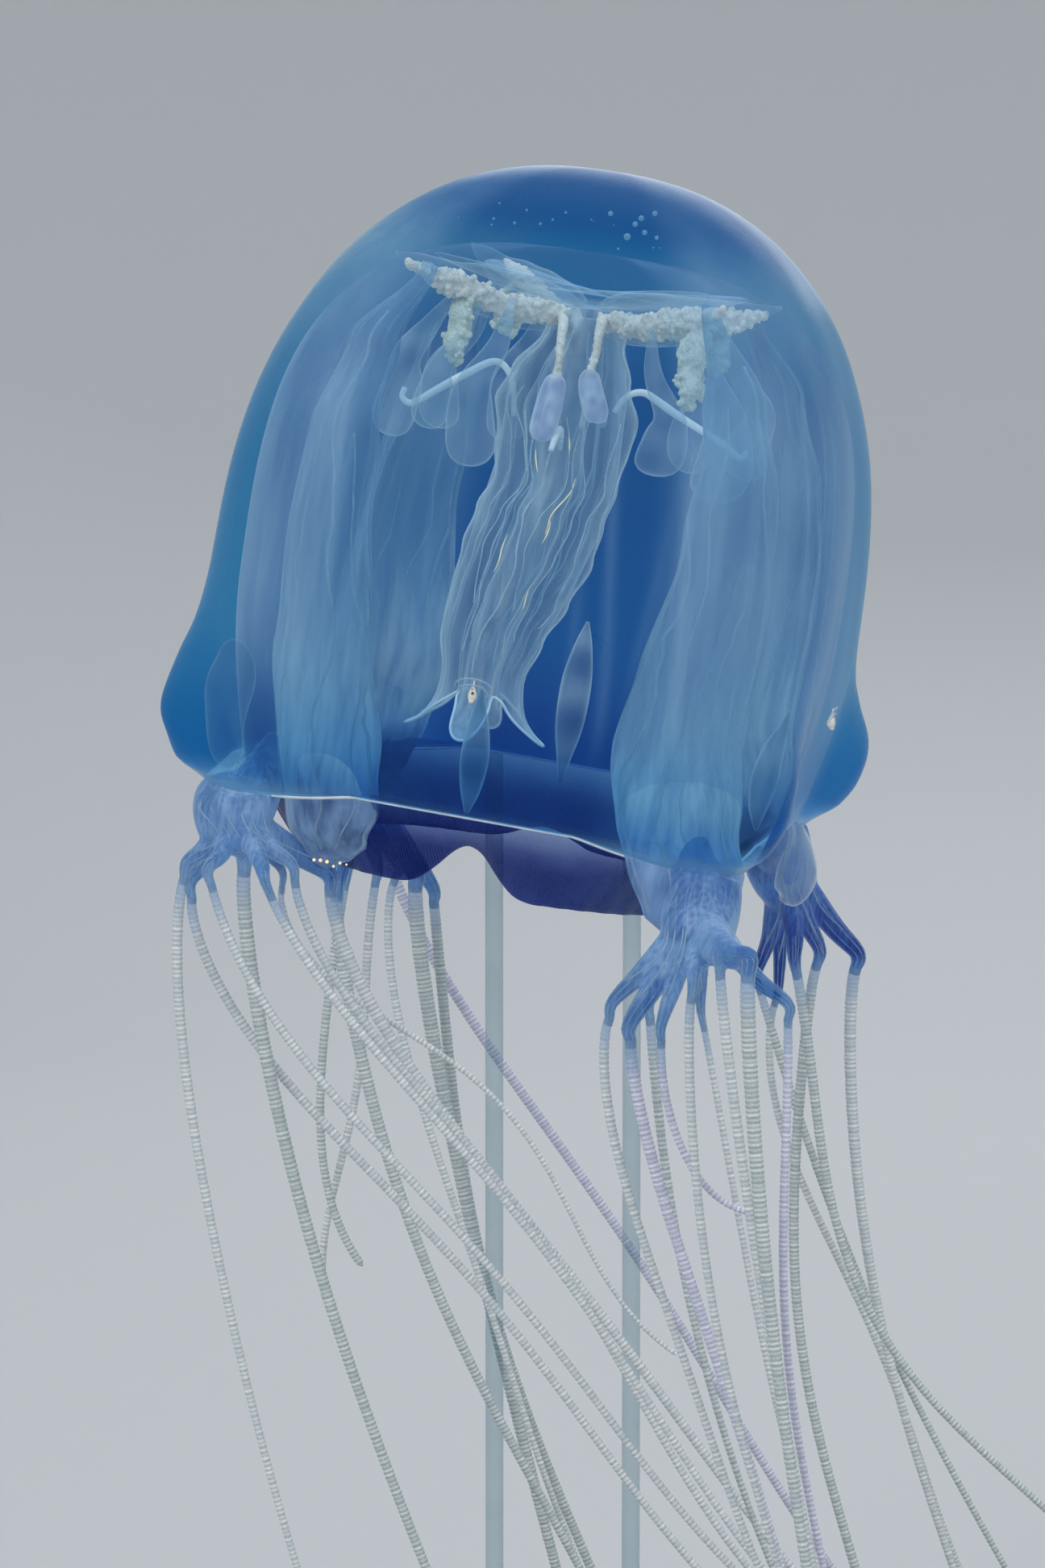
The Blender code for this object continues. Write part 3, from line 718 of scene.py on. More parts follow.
def velarium_ring(share, inset):
    """The skirt's outline a share of the way from its root to its hem, which is notched at every face."""
    face = (FACE_RADIUS * (1.0 - MARGIN_TUCK) - FACE_WALL - 0.6 - inset) * (1.0 - 0.20 * share**1.3)
    ring = []
    for turn in turns():
        radius = squared(face, 1.13 - 0.05 * share, turn)
        waver = wavering(math.cos(turn), math.sin(turn), 0.0, 0.18)
        radius += 0.35 * share * math.sin(60.0 * turn) + 1.0 * share * waver
        far_face = max(0.0, math.sin(turn)) ** 8
        notch = VELARIUM_NOTCH * (1.0 - 0.6 * far_face) * max(0.0, math.cos(4.0 * turn)) ** 4
        height = VELARIUM_ROOT - VELARIUM_DROP * share + share * notch
        ring.append((radius * math.cos(turn), radius * math.sin(turn), height))
    return ring


def fibrous_membrane():
    """Thin indigo membrane with fine fibres that run from its root to its hem."""
    material, tree, out = new_material("indigo muscle membrane")
    fibre = add_node(tree, "Attribute", attribute_name="fibre").outputs["Fac"]
    milk = add_node(tree, "Attribute", attribute_name="milk").outputs["Fac"]
    wave = add_node(tree, "Math", {0: fibre, 1: 2 * math.pi / FIBRE_PITCH}, operation="MULTIPLY").outputs[0]
    ridge = add_node(tree, "Math", {0: wave}, operation="SINE").outputs[0]
    place = add_node(tree, "TexCoord").outputs["Object"]
    cloud = add_node(tree, "TexNoise", {"Vector": place, "Scale": 90.0, "Detail": 4.0}).outputs["Fac"]
    strength = add_node(tree, "Math", {0: ridge, 1: 0.3, 2: 0.62}, operation="MULTIPLY_ADD").outputs[0]
    patchy = add_node(tree, "Math", {0: strength, 1: cloud, 2: milk}, operation="MULTIPLY_ADD").outputs[0]
    facing = add_node(tree, "LayerWeight", {"Blend": 0.3}).outputs["Facing"]
    dense = add_node(tree, "Attribute", attribute_name="dense").outputs["Fac"]
    whole = add_node(tree, "Math", {0: facing, 1: 0.2, 2: patchy}, operation="MULTIPLY_ADD").outputs[0]
    share = add_node(tree, "Math", {0: whole, 1: dense}, operation="MULTIPLY", use_clamp=True)
    tint = add_node(
        tree, "Mix", {"Factor": dense, 6: linear("#cfdcf2"), 7: linear("#8f9fd6")}, data_type="RGBA"
    ).outputs[2]
    lit = add_node(tree, "Math", {0: ridge, 1: cloud}, operation="MULTIPLY", use_clamp=True).outputs[0]
    dark = add_node(
        tree, "Mix", {"Factor": lit, 6: linear("#141f63"), 7: linear("#3358a6")}, data_type="RGBA"
    ).outputs[2]
    colour = add_node(
        tree, "Mix", {"Factor": milk, 6: dark, 7: linear("#7da3c6")}, data_type="RGBA"
    ).outputs[2]
    bump = add_node(tree, "Bump", {"Height": ridge, "Strength": 0.25, "Distance": 2e-4})
    through = add_node(tree, "BsdfTransparent", {"Color": tint})
    wet = add_node(
        tree, "BsdfPrincipled",
        {"Base Color": colour, "Roughness": 0.3, "IOR": 1.35, "Normal": bump.outputs[0]},
    )
    mixed = add_node(tree, "MixShader", {0: share.outputs[0], 1: through.outputs[0], 2: wet.outputs[0]})
    tree.links.new(mixed.outputs[0], out.inputs[0])
    return material


skirt = bmesh.new()
root_edge = start_ring(skirt, velarium_ring(0.0, 0.0))
levels = [i / VELARIUM_STEPS for i in range(VELARIUM_STEPS + 1)]
hem = draw_out(skirt, root_edge, [velarium_ring(s, 0.0) for s in levels[1:]])
inside = draw_out(skirt, hem, [velarium_ring(s, VELARIUM_THICK) for s in reversed(levels)])
bmesh.ops.bridge_loops(skirt, edges=root_edge + inside)
mark(skirt, "dense", lambda x, y, z: 0.1 + 0.9 * eased(z, VELARIUM_ROOT, -15.0))
mark(skirt, "fibre", lambda x, y, z: 80.0 * abs(polar(x, y)[0]))
mark(skirt, "milk", lambda x, y, z: 0.22 * corner_share(polar(x, y)[0]) ** 2 + 0.4 * eased(z, -6.0, 0.6))
MEMBRANE = fibrous_membrane()
finish_piece("velarium_skirt", skirt, [MEMBRANE], ["velarium"], in_bell=True)


def tube(path, radii, sides=12):
    """A round tube of changing width along a path, as a bmesh with closed ends."""
    curve = bpy.data.curves.new("path", "CURVE")
    curve.dimensions = "3D"
    curve.bevel_depth = MM
    curve.bevel_resolution = sides // 2 - 2
    curve.use_fill_caps = True
    spline = curve.splines.new("POLY")
    spline.points.add(len(path) - 1)
    for knot, point, radius in zip(spline.points, path, radii):
        knot.co = (*(Vector(point) * MM), 1.0)
        knot.radius = radius
    guide = bpy.data.objects.new("path", curve)
    mesh = guide.to_mesh()
    shape = bmesh.new()
    shape.from_mesh(mesh)
    guide.to_mesh_clear()
    bpy.data.objects.remove(guide)
    bpy.data.curves.remove(curve)
    return shape


def tube_along(rows, sides=12):
    """A round tube along rows of (x, y, z, radius)."""
    return tube([row[:3] for row in rows], [row[3] for row in rows], sides)


def thread(path, half, sides=6):
    """A round thread of one thickness along a path."""
    return tube(path, [half] * len(path), sides)


def smooth_path(knots, steps=10):
    """A smooth run through knots of any number of values (Catmull-Rom)."""
    ahead = [2 * a - b for a, b in zip(knots[0], knots[1])]
    beyond = [2 * a - b for a, b in zip(knots[-1], knots[-2])]
    rows = [ahead, *knots, beyond]
    path = []
    for before, start, end, after in zip(rows, rows[1:], rows[2:], rows[3:]):
        for i in range(steps):
            t = i / steps
            place = []
            for p, q, r, s in zip(before, start, end, after):
                bend, twist = 2 * p - 5 * q + 4 * r - s, 3 * q - p - 3 * r + s
                place.append(0.5 * (2 * q + (r - p) * t + bend * t * t + twist * t**3))
            path.append(tuple(place))
    return path + [tuple(knots[-1])]


def turn_round(shape, degrees):
    """Turn a shape about the bell's axis."""
    bearing = Matrix.Rotation(math.radians(degrees), 3, "Z")
    bmesh.ops.rotate(shape, cent=(0, 0, 0), matrix=bearing, verts=shape.verts)


def join_shapes(shapes):
    """Put several shapes into one."""
    whole = bmesh.new()
    for shape in shapes:
        part = bpy.data.meshes.new("part")
        shape.to_mesh(part)
        shape.free()
        whole.from_mesh(part)
        bpy.data.meshes.remove(part)
    return whole


def pale_thread(name, colour, glow_colour, solid):
    """A wet strand of pale tissue, half clear, with a soft gloss."""
    material, tree, out = new_material(name)
    place = add_node(tree, "TexCoord").outputs["Object"]
    patches = add_node(tree, "TexNoise", {"Vector": place, "Scale": 260.0, "Detail": 4.0}).outputs["Fac"]
    tone = add_node(
        tree, "Mix", {"Factor": patches, 6: linear(colour), 7: linear(glow_colour)}, data_type="RGBA"
    ).outputs[2]
    facing = add_node(tree, "LayerWeight", {"Blend": 0.4}).outputs["Facing"]
    thin = add_node(tree, "Math", {0: patches, 1: 0.3, 2: solid - 0.15}, operation="MULTIPLY_ADD").outputs[0]
    share = add_node(tree, "Math", {0: facing, 1: 0.5, 2: thin}, operation="MULTIPLY_ADD", use_clamp=True)
    wet = add_node(
        tree, "BsdfPrincipled",
        {"Base Color": tone, "Roughness": 0.25, "IOR": 1.36, "Alpha": share.outputs[0]},
    )
    tree.links.new(wet.outputs[0], out.inputs[0])
    return material


THREAD = pale_thread("pale nerve thread", "#b3c9d8", "#eef4f7", 0.8)
MARGIN_THREAD_RADIUS = 0.4
bead = []
for turn in turns(180):
    radius = squared(FACE_RADIUS * (1.0 - MARGIN_TUCK) - 0.6 * FACE_WALL, 1.19, turn)
    bead.append((radius * math.cos(turn), radius * math.sin(turn), -0.5 - 5.2 * corner_share(turn)))
bead.append(bead[0])
margin_thread = thread(bead, MARGIN_THREAD_RADIUS, sides=8)
finish_piece("margin_thread", margin_thread, [THREAD], [], in_bell=True)

# Each face's velarium is braced from inside by a frenulum: a clear, spindle-shaped fold with pale edges
FRENULUM = clear_tissue(
    "clear muscle fold", ("#d5e6f0", "#b7cfe6", "#8fa3d4"), body="#9fbed2", pale="#eaf1f5",
    haze=(0.06, 0.16, 0.95), edge=(0.5, 2.4), streaks=0.4, rough=0.3,
)
# Each fold is knots of (reach, height, half width)
SHORT_FOLD = [(75.4, 0, 0.6), (75, 7, 3), (75.6, 16, 4.2), (77, 25, 3.4), (79, 33, 1.4), (80, 38, 0.4)]
LONG_FOLD = [(74, -6, 0.5), (74.4, 2, 2.4), (75.2, 13, 4.6), (76.6, 27, 5), (79, 39, 3), (80.5, 47, 0.5)]
for quarter, knots in enumerate((SHORT_FOLD, LONG_FOLD, SHORT_FOLD, SHORT_FOLD)):
    fold = tube_along([(reach, 0, height, half) for reach, height, half in smooth_path(knots, 8)], sides=24)
    turn_round(fold, 90 * quarter)
    mark(fold, "milk", lambda x, y, z: 0.5 + 0.3 * math.sin(z / 3.0))
    mark(fold, "deep", lambda x, y, z: 0.1)
    lets_lamps_in(finish_piece(f"frenulum_{quarter}", fold, [FRENULUM], [], in_bell=True))


# --------------------------------------------------------------------------- sense organs
# Four rhopalia hang in niches low on the faces, each under a small arched hood. A rhopalium is a stalked
# bead with dark lens eyes and a bright crystal of gypsum, the statolith, that glints.
RHOPALIUM_HEIGHT = 37.0


def glinting_bead():
    """Pale tissue round a crystal: bright and glossy, dark where the pigment cups of the eyes sit."""
    material, tree, out = new_material("pigmented sense organ")
    place = add_node(tree, "TexCoord").outputs["Object"]
    grain = add_node(tree, "TexNoise", {"Vector": place, "Scale": 800.0, "Detail": 3.0}).outputs["Fac"]
    pigment = add_node(tree, "Attribute", attribute_name="pigment").outputs["Fac"]
    pale = add_node(
        tree, "Mix", {"Factor": grain, 6: linear("#c9cbc4"), 7: linear("#f2f0e6")}, data_type="RGBA"
    ).outputs[2]
    tone = add_node(
        tree, "Mix", {"Factor": pigment, 6: pale, 7: linear("#3b2c27")}, data_type="RGBA"
    ).outputs[2]
    wet = add_node(tree, "BsdfPrincipled", {"Base Color": tone, "Roughness": 0.12, "IOR": 1.5})
    tree.links.new(wet.outputs[0], out.inputs[0])
    return material


BEAD = glinting_bead()
RIM = pale_thread("faint niche rim", "#7fa5c4", "#b4cddd", 0.35)
RHOPALIUM = [(3.8, 0.3), (2.2, 0.4), (1.0, 0.9), (-0.6, 1.3), (-1.8, 1.0), (-2.3, 0.3)]  # (rise, half width)
CRYSTAL_RADIUS, CRYSTAL_DROP = 0.8, 2.1
reach = straight_face(RHOPALIUM_HEIGHT) * dome_share(RHOPALIUM_HEIGHT, BELL_HEIGHT, DOME_POWER) + 1.4


def pigment(x, y, z):
    """Dark in the cups of the large lens eye and of the small eye above it."""
    lens_eye = math.dist((x, y, z), (reach + 1.1, 0.2, RHOPALIUM_HEIGHT + 0.2))
    small_eye = math.dist((x, y, z), (reach + 0.8, -0.2, RHOPALIUM_HEIGHT + 1.3))
    return max(eased(lens_eye, 0.6, 0.35), eased(small_eye, 0.4, 0.2))


for quarter, side in enumerate(("right", "far", "left", "near")):
    rows = [(reach, 0, RHOPALIUM_HEIGHT + rise, half) for rise, half in smooth_path(RHOPALIUM, 6)]
    crystal = bmesh.new()
    bmesh.ops.create_icosphere(crystal, subdivisions=2, radius=CRYSTAL_RADIUS * MM)
    place = Vector((reach + 0.4, 0, RHOPALIUM_HEIGHT - CRYSTAL_DROP)) * MM
    bmesh.ops.translate(crystal, vec=place, verts=crystal.verts)
    organ = join_shapes([tube_along(rows, sides=16), crystal])
    mark(organ, "pigment", pigment)
    turn_round(organ, 90 * quarter)
    finish_piece(f"sense_organ_{side}", organ, [BEAD], [f"rhopalium_{side}"], in_bell=True)

    hood = []
    for lift, swell in ((0.0, 5.6), (1.2, 4.4)):
        arc = [
            (
                reach - 0.2 + 1.1 * math.sin(math.radians(a)),
                swell * math.cos(math.radians(a)),
                RHOPALIUM_HEIGHT + 1.5 - lift + 0.5 * swell * math.sin(math.radians(a)),
            )
            for a in range(-12, 193, 6)
        ]
        hood.append(tube(arc, [0.18 + 0.1 * math.sin(math.pi * i / 34) for i in range(len(arc))], sides=8))
    hood = join_shapes(hood)
    turn_round(hood, 90 * quarter)
    finish_piece(f"niche_hood_{side}", hood, [RIM], [], in_bell=True)


# -------------------------------------------------------------------------------- stomach
# Under the dome the stomach is a clear, four-armed bag: a thin web between four flattened sleeves that rise
# to the bell's corners. Finger-like saccules hang from it, all of wet, glassy tissue with pale edges.
POUCH = clear_tissue(
    "clear stomach wall", ("#f5f9fb", "#c6dcee", "#a9bce0"), body="#a9c4d6", pale="#e3edf2",
    haze=(0.02, 0.12, 0.45), edge=(0.45, 3.0), streaks=0.3, rough=0.3,
)
SLEEVE = [
    # (reach, height, half width)
    (3, 149, 1.5), (9, 148, 5.5), (22, 148, 8), (38, 149.5, 7.6), (52, 152, 5.6), (63, 155, 3),
    (72, 157.5, 0.5),
]
SLEEVE_LIFT = (0.0, 0.07, 0.0, 0.0)  # the far left sleeve slopes up more steeply than the others
SLEEVE_FLATNESS = 0.7
sleeves = []
for quarter in range(4):
    rows = [(reach, 0, height, half) for reach, height, half in smooth_path(SLEEVE, 10)]
    sleeve = tube_along(rows, sides=32)
    for vert in sleeve.verts:
        vert.co.y *= SLEEVE_FLATNESS
        x, y, z = vert.co / MM
        vert.co.z += 0.7 * wavering(x, y + 50.0 * quarter, z, 9.0) * MM
        vert.co.z += SLEEVE_LIFT[quarter] * x * MM
    turn_round(sleeve, 45 + 90 * quarter)
    sleeves.append(sleeve)
sleeves = join_shapes(sleeves)
mark(sleeves, "milk", lambda x, y, z: 0.5 + 0.5 * wavering(x, y, z, 11.0))
mark(sleeves, "deep", lambda x, y, z: 0.0)
lets_lamps_in(finish_piece("stomach_sleeves", sleeves, [POUCH], ["stomach"], in_bell=True))


def web_ring(share, height):
    """The web's hem is drawn in between the four sleeves."""
    ring = []
    for turn in turns():
        corner = corner_share(turn)
        radius = share * (31.0 + 27.0 * corner**1.5)
        ring.append((radius * math.cos(turn), radius * math.sin(turn), height + 6.0 * share * corner))
    return ring


WEB_LEVELS = [
    # (share of its full reach, height), from the under side over the hem to the upper side
    (0.3, 149), (0.6, 150), (0.85, 151), (0.96, 152), (1.0, 152.8), (0.96, 153.4), (0.85, 153.6),
    (0.6, 153.8), (0.3, 154),
]
web = bmesh.new()
web_rings = [web_ring(share, height) for share, height in WEB_LEVELS]
hem = start_ring(web, web_rings[0])
close_end(web, hem)
crown = draw_out(web, hem, web_rings[1:])
close_end(web, crown)
mark(web, "milk", lambda x, y, z: 0.3 * eased(polar(x, y)[1], 18, 40))
mark(web, "deep", lambda x, y, z: 0.0)
lets_lamps_in(finish_piece("stomach_web", web, [POUCH], [], in_bell=True))

SACCULE = clear_tissue(
    "clear saccule wall", ("#eef5f9", "#d9e8f2", "#b4c8e0"), body="#8fb2cd", pale="#e0ebf1",
    haze=(0.07, 0.22, 0.7), edge=(0.5, 2.6), streaks=0.3, rough=0.3,
)
SACCULES = [
    # (x, y, top, bottom, half width) of each pocket
    (-23, -42, 127, 98, 7.6), (-36, -38, 128, 107, 5.6), (-47, -37, 130, 103, 6.6), (35, -42, 124, 104, 7.2),
    (53, -39, 127, 99, 8.6), (-30, 44, 128, 103, 7.0), (-50, 34, 128, 104, 6.6), (30, 46, 128, 102, 7.0),
    (50, 38, 128, 103, 6.8),
]
SACCULE_FLATNESS = 0.6
pockets = []
for number, (x, y, top, bottom, half) in enumerate(SACCULES):
    span = top - bottom
    inward = Vector((x, y, 0.0)) * -0.12
    knots = [
        (x + 2.4 * inward.x, y + 2.4 * inward.y, top + 22.0, 0.9),
        (x + 1.2 * inward.x, y + 1.2 * inward.y, top + 8.0, 0.42 * half),
        (x, y, top - 0.1 * span, 0.66 * half),
        (x, y, top - 0.45 * span, 0.94 * half),
        (x, y, bottom + 0.24 * span, half),
        (x, y, bottom + 0.09 * span, 0.8 * half),
        (x, y, bottom + 0.02 * span, 0.45 * half),
        (x, y, bottom, 0.12 * half),
    ]
    pocket = tube_along(smooth_path(knots, 8), sides=28)
    for vert in pocket.verts:
        _, across, height = vert.co / MM
        vert.co.y = (y + (across - y) * SACCULE_FLATNESS) * MM
        vert.co.x += 0.9 * math.sin(height / 5.0 + number) * MM
    pockets.append(pocket)
pockets = join_shapes(pockets)
mark(pockets, "milk", lambda x, y, z: 0.45 + 0.4 * wavering(x, y, z, 8.0))
mark(pockets, "deep", lambda x, y, z: 0.0)
lets_lamps_in(finish_piece("saccules", pockets, [SACCULE], [], in_bell=True))


# ---------------------------------------------------------------------- gastric filaments
# In each sleeve lies a dense brush of short, thick gastric filaments, opaque cream tissue as granular as
# curd. A greenish tuft hangs from each brush, and two clubs by the mouth tube end in lavender capsules.
def curd(name, light, dark):
    """Opaque clotted tissue, made of grains about 0.9 mm across."""
    material, tree, out = new_material(name)
    place = add_node(tree, "TexCoord").outputs["Object"]
    grains = add_node(tree, "TexVoronoi", {"Vector": place, "Scale": 1.0 / (0.9 * MM)}).outputs["Distance"]
    cloud = add_node(tree, "TexNoise", {"Vector": place, "Scale": 190.0, "Detail": 5.0}).outputs["Fac"]
    blend = add_node(tree, "Math", {0: grains, 1: 0.6, 2: cloud}, operation="MULTIPLY_ADD").outputs[0]
    shade = add_node(tree, "MapRange", {"Value": blend, "From Min": 0.45, "From Max": 1.1}).outputs[0]
    tone = add_node(tree, "Mix", {"Factor": shade, 6: linear(light), 7: linear(dark)}, data_type="RGBA")
    bump = add_node(tree, "Bump", {"Height": grains, "Strength": 0.6, "Distance": 4e-4}, invert=True)
    wet = add_node(
        tree, "BsdfPrincipled",
        {"Base Color": tone.outputs[2], "Roughness": 0.5, "Normal": bump.outputs[0], "IOR": 1.37},
    )
    tree.links.new(wet.outputs[0], out.inputs[0])
    return material


def grown_together(shape, voxel, rounds):
    """Fuse overlapping closed shapes into one skin, and smooth it like wet flesh."""
    mesh = bpy.data.meshes.new("lump")
    shape.to_mesh(mesh)
    shape.free()
    lump = bpy.data.objects.new("lump", mesh)
    bpy.context.scene.collection.objects.link(lump)
    fuse = lump.modifiers.new("fuse", "REMESH")
    fuse.mode = "VOXEL"
    fuse.voxel_size = voxel * MM
    ease = lump.modifiers.new("ease", "SMOOTH")
    ease.factor = 0.5
    ease.iterations = rounds
    graph = bpy.context.evaluated_depsgraph_get()
    fused = bmesh.new()
    fused.from_mesh(lump.evaluated_get(graph).to_mesh())
    bpy.data.objects.remove(lump)
    bpy.data.meshes.remove(mesh)
    return fused


def clotted(rows, grain, spread, chance):
    """A mass of small round grains scattered about a core of (x, y, z, half width) rows."""
    clot = bmesh.new()
    for row in rows:
        for _ in range(max(2, int(row[3] * 2.2))):
            turn, out = chance.uniform(0, 2 * math.pi), row[3] * chance.uniform(0.2, 1.0) * spread
            size = grain * chance.uniform(0.55, 1.15)
            across, up = row[1] + out * math.cos(turn), row[2] + out * math.sin(turn)
            place = Matrix.Translation(Vector((row[0] + chance.uniform(-1, 1), across, up)) * MM)
            bmesh.ops.create_icosphere(clot, subdivisions=1, radius=size * MM, matrix=place)
    return join_shapes([clot, tube([row[:3] for row in rows], [0.6 * row[3] for row in rows], sides=12)])


CREAM = curd("cream gastric filaments", "#fffaf0", "#ecd6c6")
TUFT = curd("greenish filament tuft", "#fbf8ec", "#cdcdb9")
BRUSH = [
    # (reach, height, half width)
    (9, 146, 2.8), (16, 146, 4.4), (27, 146.2, 4.8), (39, 148, 5.4), (50, 150.4, 5.6), (58, 152, 3.8),
    (67, 155, 1.0),
]
# Where each tuft hangs: (reach, how far down)
TUFTS = {"right_far": (50, 9), "left_far": (44, 7), "left_near": (46, 17), "right_near": (56, 20)}
FLESH_VOXEL = 0.42
for quarter, corner in enumerate(TUFTS):
    chance = random.Random(40 + quarter)
    lift, short = (4.0, 0.75) if corner == "left_far" else (0.0, 1.0)
    rows = [
        (reach * short, 0.0, height + lift * eased(reach, 5, 60), half * short)
        for reach, height, half in smooth_path(BRUSH, 12)
    ]
    brush = grown_together(clotted(rows, 1.25, 0.8, chance), FLESH_VOXEL, 1)
    reach, drop = TUFTS[corner]
    hanging = smooth_path(
        [
            (reach, 0.0, 149.0, 3.4),
            (reach + 0.8, 0.5, 146.0 - 0.2 * drop, 6.0),
            (reach - 0.8, -0.5, 146.0 - 0.5 * drop, 5.4),
            (reach + 1.5, 0.0, 146.0 - 0.75 * drop, 5.6),
            (reach - 0.5, 0.0, 146.0 - drop, 2.6),
        ],
        5,
    )
    tuft = grown_together(clotted(hanging, 1.35, 0.95, chance), FLESH_VOXEL, 1)
    brush_faces = len(brush.faces)
    both = join_shapes([brush, tuft])
    both.faces.ensure_lookup_table()
    for i, face in enumerate(both.faces):
        face.material_index = 0 if i < brush_faces else 1
    turn_round(both, 45 + 90 * quarter)
    nodes = [f"gastric_filaments_{corner}"]
    finish_piece(f"filament_brush_{corner}", both, [CREAM, TUFT], nodes, in_bell=True)

CLUBS = [
    # each club: cream stalk rows (x, y, z, half width), then capsule rows
    (
        [
            (-7.5, -8, 146, 1.8), (-5, -15, 144, 2.6), (-3.6, -22, 139, 2.3), (-2.6, -25, 132, 1.9),
            (-2.6, -26, 126.5, 2.1),
        ],
        [
            (-2.4, -26, 128.5, 1.4), (-2.6, -26, 126.5, 3.2), (-3.2, -26, 121, 4), (-4.2, -26, 112, 4.1),
            (-4.6, -26, 109, 3), (-4.7, -26, 108, 1),
        ],
    ),
    (
        [
            (5, -6, 147, 1.8), (6.6, -14, 146, 2.7), (7.4, -21, 143, 2.4), (8, -24, 137, 1.9),
            (7.4, -26, 130, 2),
        ],
        [
            (7, -26, 131.5, 1.2), (7.4, -26, 129.5, 3), (8.6, -26, 125, 3.7), (11.2, -26, 119, 3.7),
            (12.2, -26, 116.8, 2.6), (12.4, -26, 116, 0.9),
        ],
    ),
]
CAPSULE = clear_tissue(
    "lavender gastric capsule", ("#e6ebfa", "#ccd3f0", "#b1bbe6"), body="#dde1f6", pale="#ffffff",
    haze=(0.26, 0.3, 0.7), edge=(0.5, 2.2), streaks=0.7, rough=0.35,
)
stalks, capsules = [], []
for number, (stalk, capsule) in enumerate(CLUBS):
    stalks.append(grown_together(clotted(smooth_path(stalk, 8), 0.8, 0.6, random.Random(number)), 0.35, 1))
    capsules.append(tube_along(smooth_path(capsule, 8), sides=28))
finish_piece("capsule_stalks", join_shapes(stalks), [CREAM], [], in_bell=True)
capsules = join_shapes(capsules)
mark(capsules, "milk", lambda x, y, z: 0.5 + 0.5 * wavering(x, y, z, 3.0))
mark(capsules, "deep", lambda x, y, z: 0.1)
finish_piece("gastric_capsules", capsules, [CAPSULE], [], in_bell=True)


# ------------------------------------------------------------------------------ manubrium
# The mouth tube hangs from the stomach and swings to one side. It is a thin, four-cornered, pleated tube of
# milky tissue that ends in four pointed lips; thin pale folds, the mesenteries, brace its shoulders.
TUBE_TOP, TUBE_END, LIP_LENGTH = 149.0, 27.0, 13.0
LIP_START, LIP_FALL = 34.0, 7.0
TUBE_WALL = 0.9
TUBE_WIDTH = [
    # (height, half width)
    (26, 11.2), (32, 11.8), (45, 14.6), (58, 16.8), (72, 18.4), (84, 18), (95, 17.4), (106, 18.6), (117, 20),
    (128, 16.5), (140, 11.5), (149, 9),
]
TUBE_MIDDLE = [
    # (height, how far to the side)
    (11, -17.2), (32, -16), (46, -14.6), (58, -11.8), (72, -8.6), (84, -5.8), (95, -1.6), (106, -2.6),
    (119, -3.6), (149, 0),
]
PLEATS = 120  # points once round the tube


def tube_ring(height, lips=0.0, inset=0.0):
    """The tube's pleated outline at a height; lips goes from nought to one down the four lips."""
    width, middle = between(TUBE_WIDTH, height), between(TUBE_MIDDLE, height)
    ring = []
    for turn in turns(PLEATS):
        rib = math.cos(4.0 * turn)
        pleat = 0.045 * math.cos(12.0 * turn + 0.9 * math.sin(height / 19.0))
        pleat += 0.015 * math.cos(20.0 * turn - height / 23.0)
        ripple = 0.045 * math.sin(height / 5.5 + 3.0 * turn) * eased(height, 80, 105)
        ripple += 0.03 * math.sin(height / 9.0 + turn)
        petal = 0.5 + 0.5 * rib
        radius = width * (0.93 + (0.15 + 0.06 * lips) * rib + pleat + ripple * (1.0 - lips)) - inset
        radius += 9.0 * lips**3 * petal**1.6
        drop = lips * LIP_LENGTH * petal**1.2
        ring.append((middle + radius * math.cos(turn), radius * math.sin(turn), height - drop))
    return ring


MOUTH_TUBE = clear_tissue(
    "pleated milky membrane", ("#e0ebf2", "#c4d8ea", "#a9bce0"), body="#a9c4da", pale="#edf3f6",
    haze=(0.08, 0.22, 0.75), edge=(0.5, 2.4), streaks=0.4, strand=3.0, rough=0.3,
)
tube_shape = bmesh.new()
neck = start_ring(tube_shape, tube_ring(TUBE_TOP))
close_end(tube_shape, neck)
body = [tube_ring(TUBE_TOP - 1.5 * i) for i in range(1, 77)]
lip_steps = [i / 8 for i in range(1, 9)]
lips = [tube_ring(LIP_START - LIP_FALL * s, lips=s**1.2) for s in lip_steps]
lips_inside = [tube_ring(LIP_START - LIP_FALL * s, lips=s**1.2, inset=TUBE_WALL) for s in reversed(lip_steps)]
gullet = [tube_ring(h, inset=TUBE_WALL) for h in (36.0, 44.0, 60.0, 80.0, 100.0, 125.0, 146.0)]
end = draw_out(tube_shape, neck, body + lips + lips_inside + gullet)
close_end(tube_shape, end)


def rib_milk(x, y, z):
    """The four corners of the tube, and the hem of its lips, are milkiest."""
    turn, _ = polar(x - between(TUBE_MIDDLE, max(z, TUBE_END)), y)
    rib = 0.5 * max(0.0, math.cos(4.0 * turn)) ** 2
    return 0.3 + rib + 0.5 * eased(z, 38, 20) + 0.25 * wavering(x, y, z / 3, 5.0)


mark(tube_shape, "milk", rib_milk)
mark(tube_shape, "deep", lambda x, y, z: 0.0)
mouth = finish_piece("mouth_tube", tube_shape, [MOUTH_TUBE], ["manubrium"], in_bell=True)
lets_lamps_in(mouth)


def down_the_tube(degrees, start, stop, wander, count=60):
    """A path down the mouth tube's skin at a bearing, wandering a little from side to side."""
    path = []
    for i in range(count):
        height = start + (stop - start) * i / (count - 1)
        turn = math.radians(degrees) + wander * math.sin(height / 8.0 + degrees)
        place = turn / (2 * math.pi) * PLEATS
        ring, step = tube_ring(height), math.floor(place)
        low, high = Vector(ring[step % PLEATS]), Vector(ring[(step + 1) % PLEATS])
        path.append(tuple(low.lerp(high, place - step)))
    return path


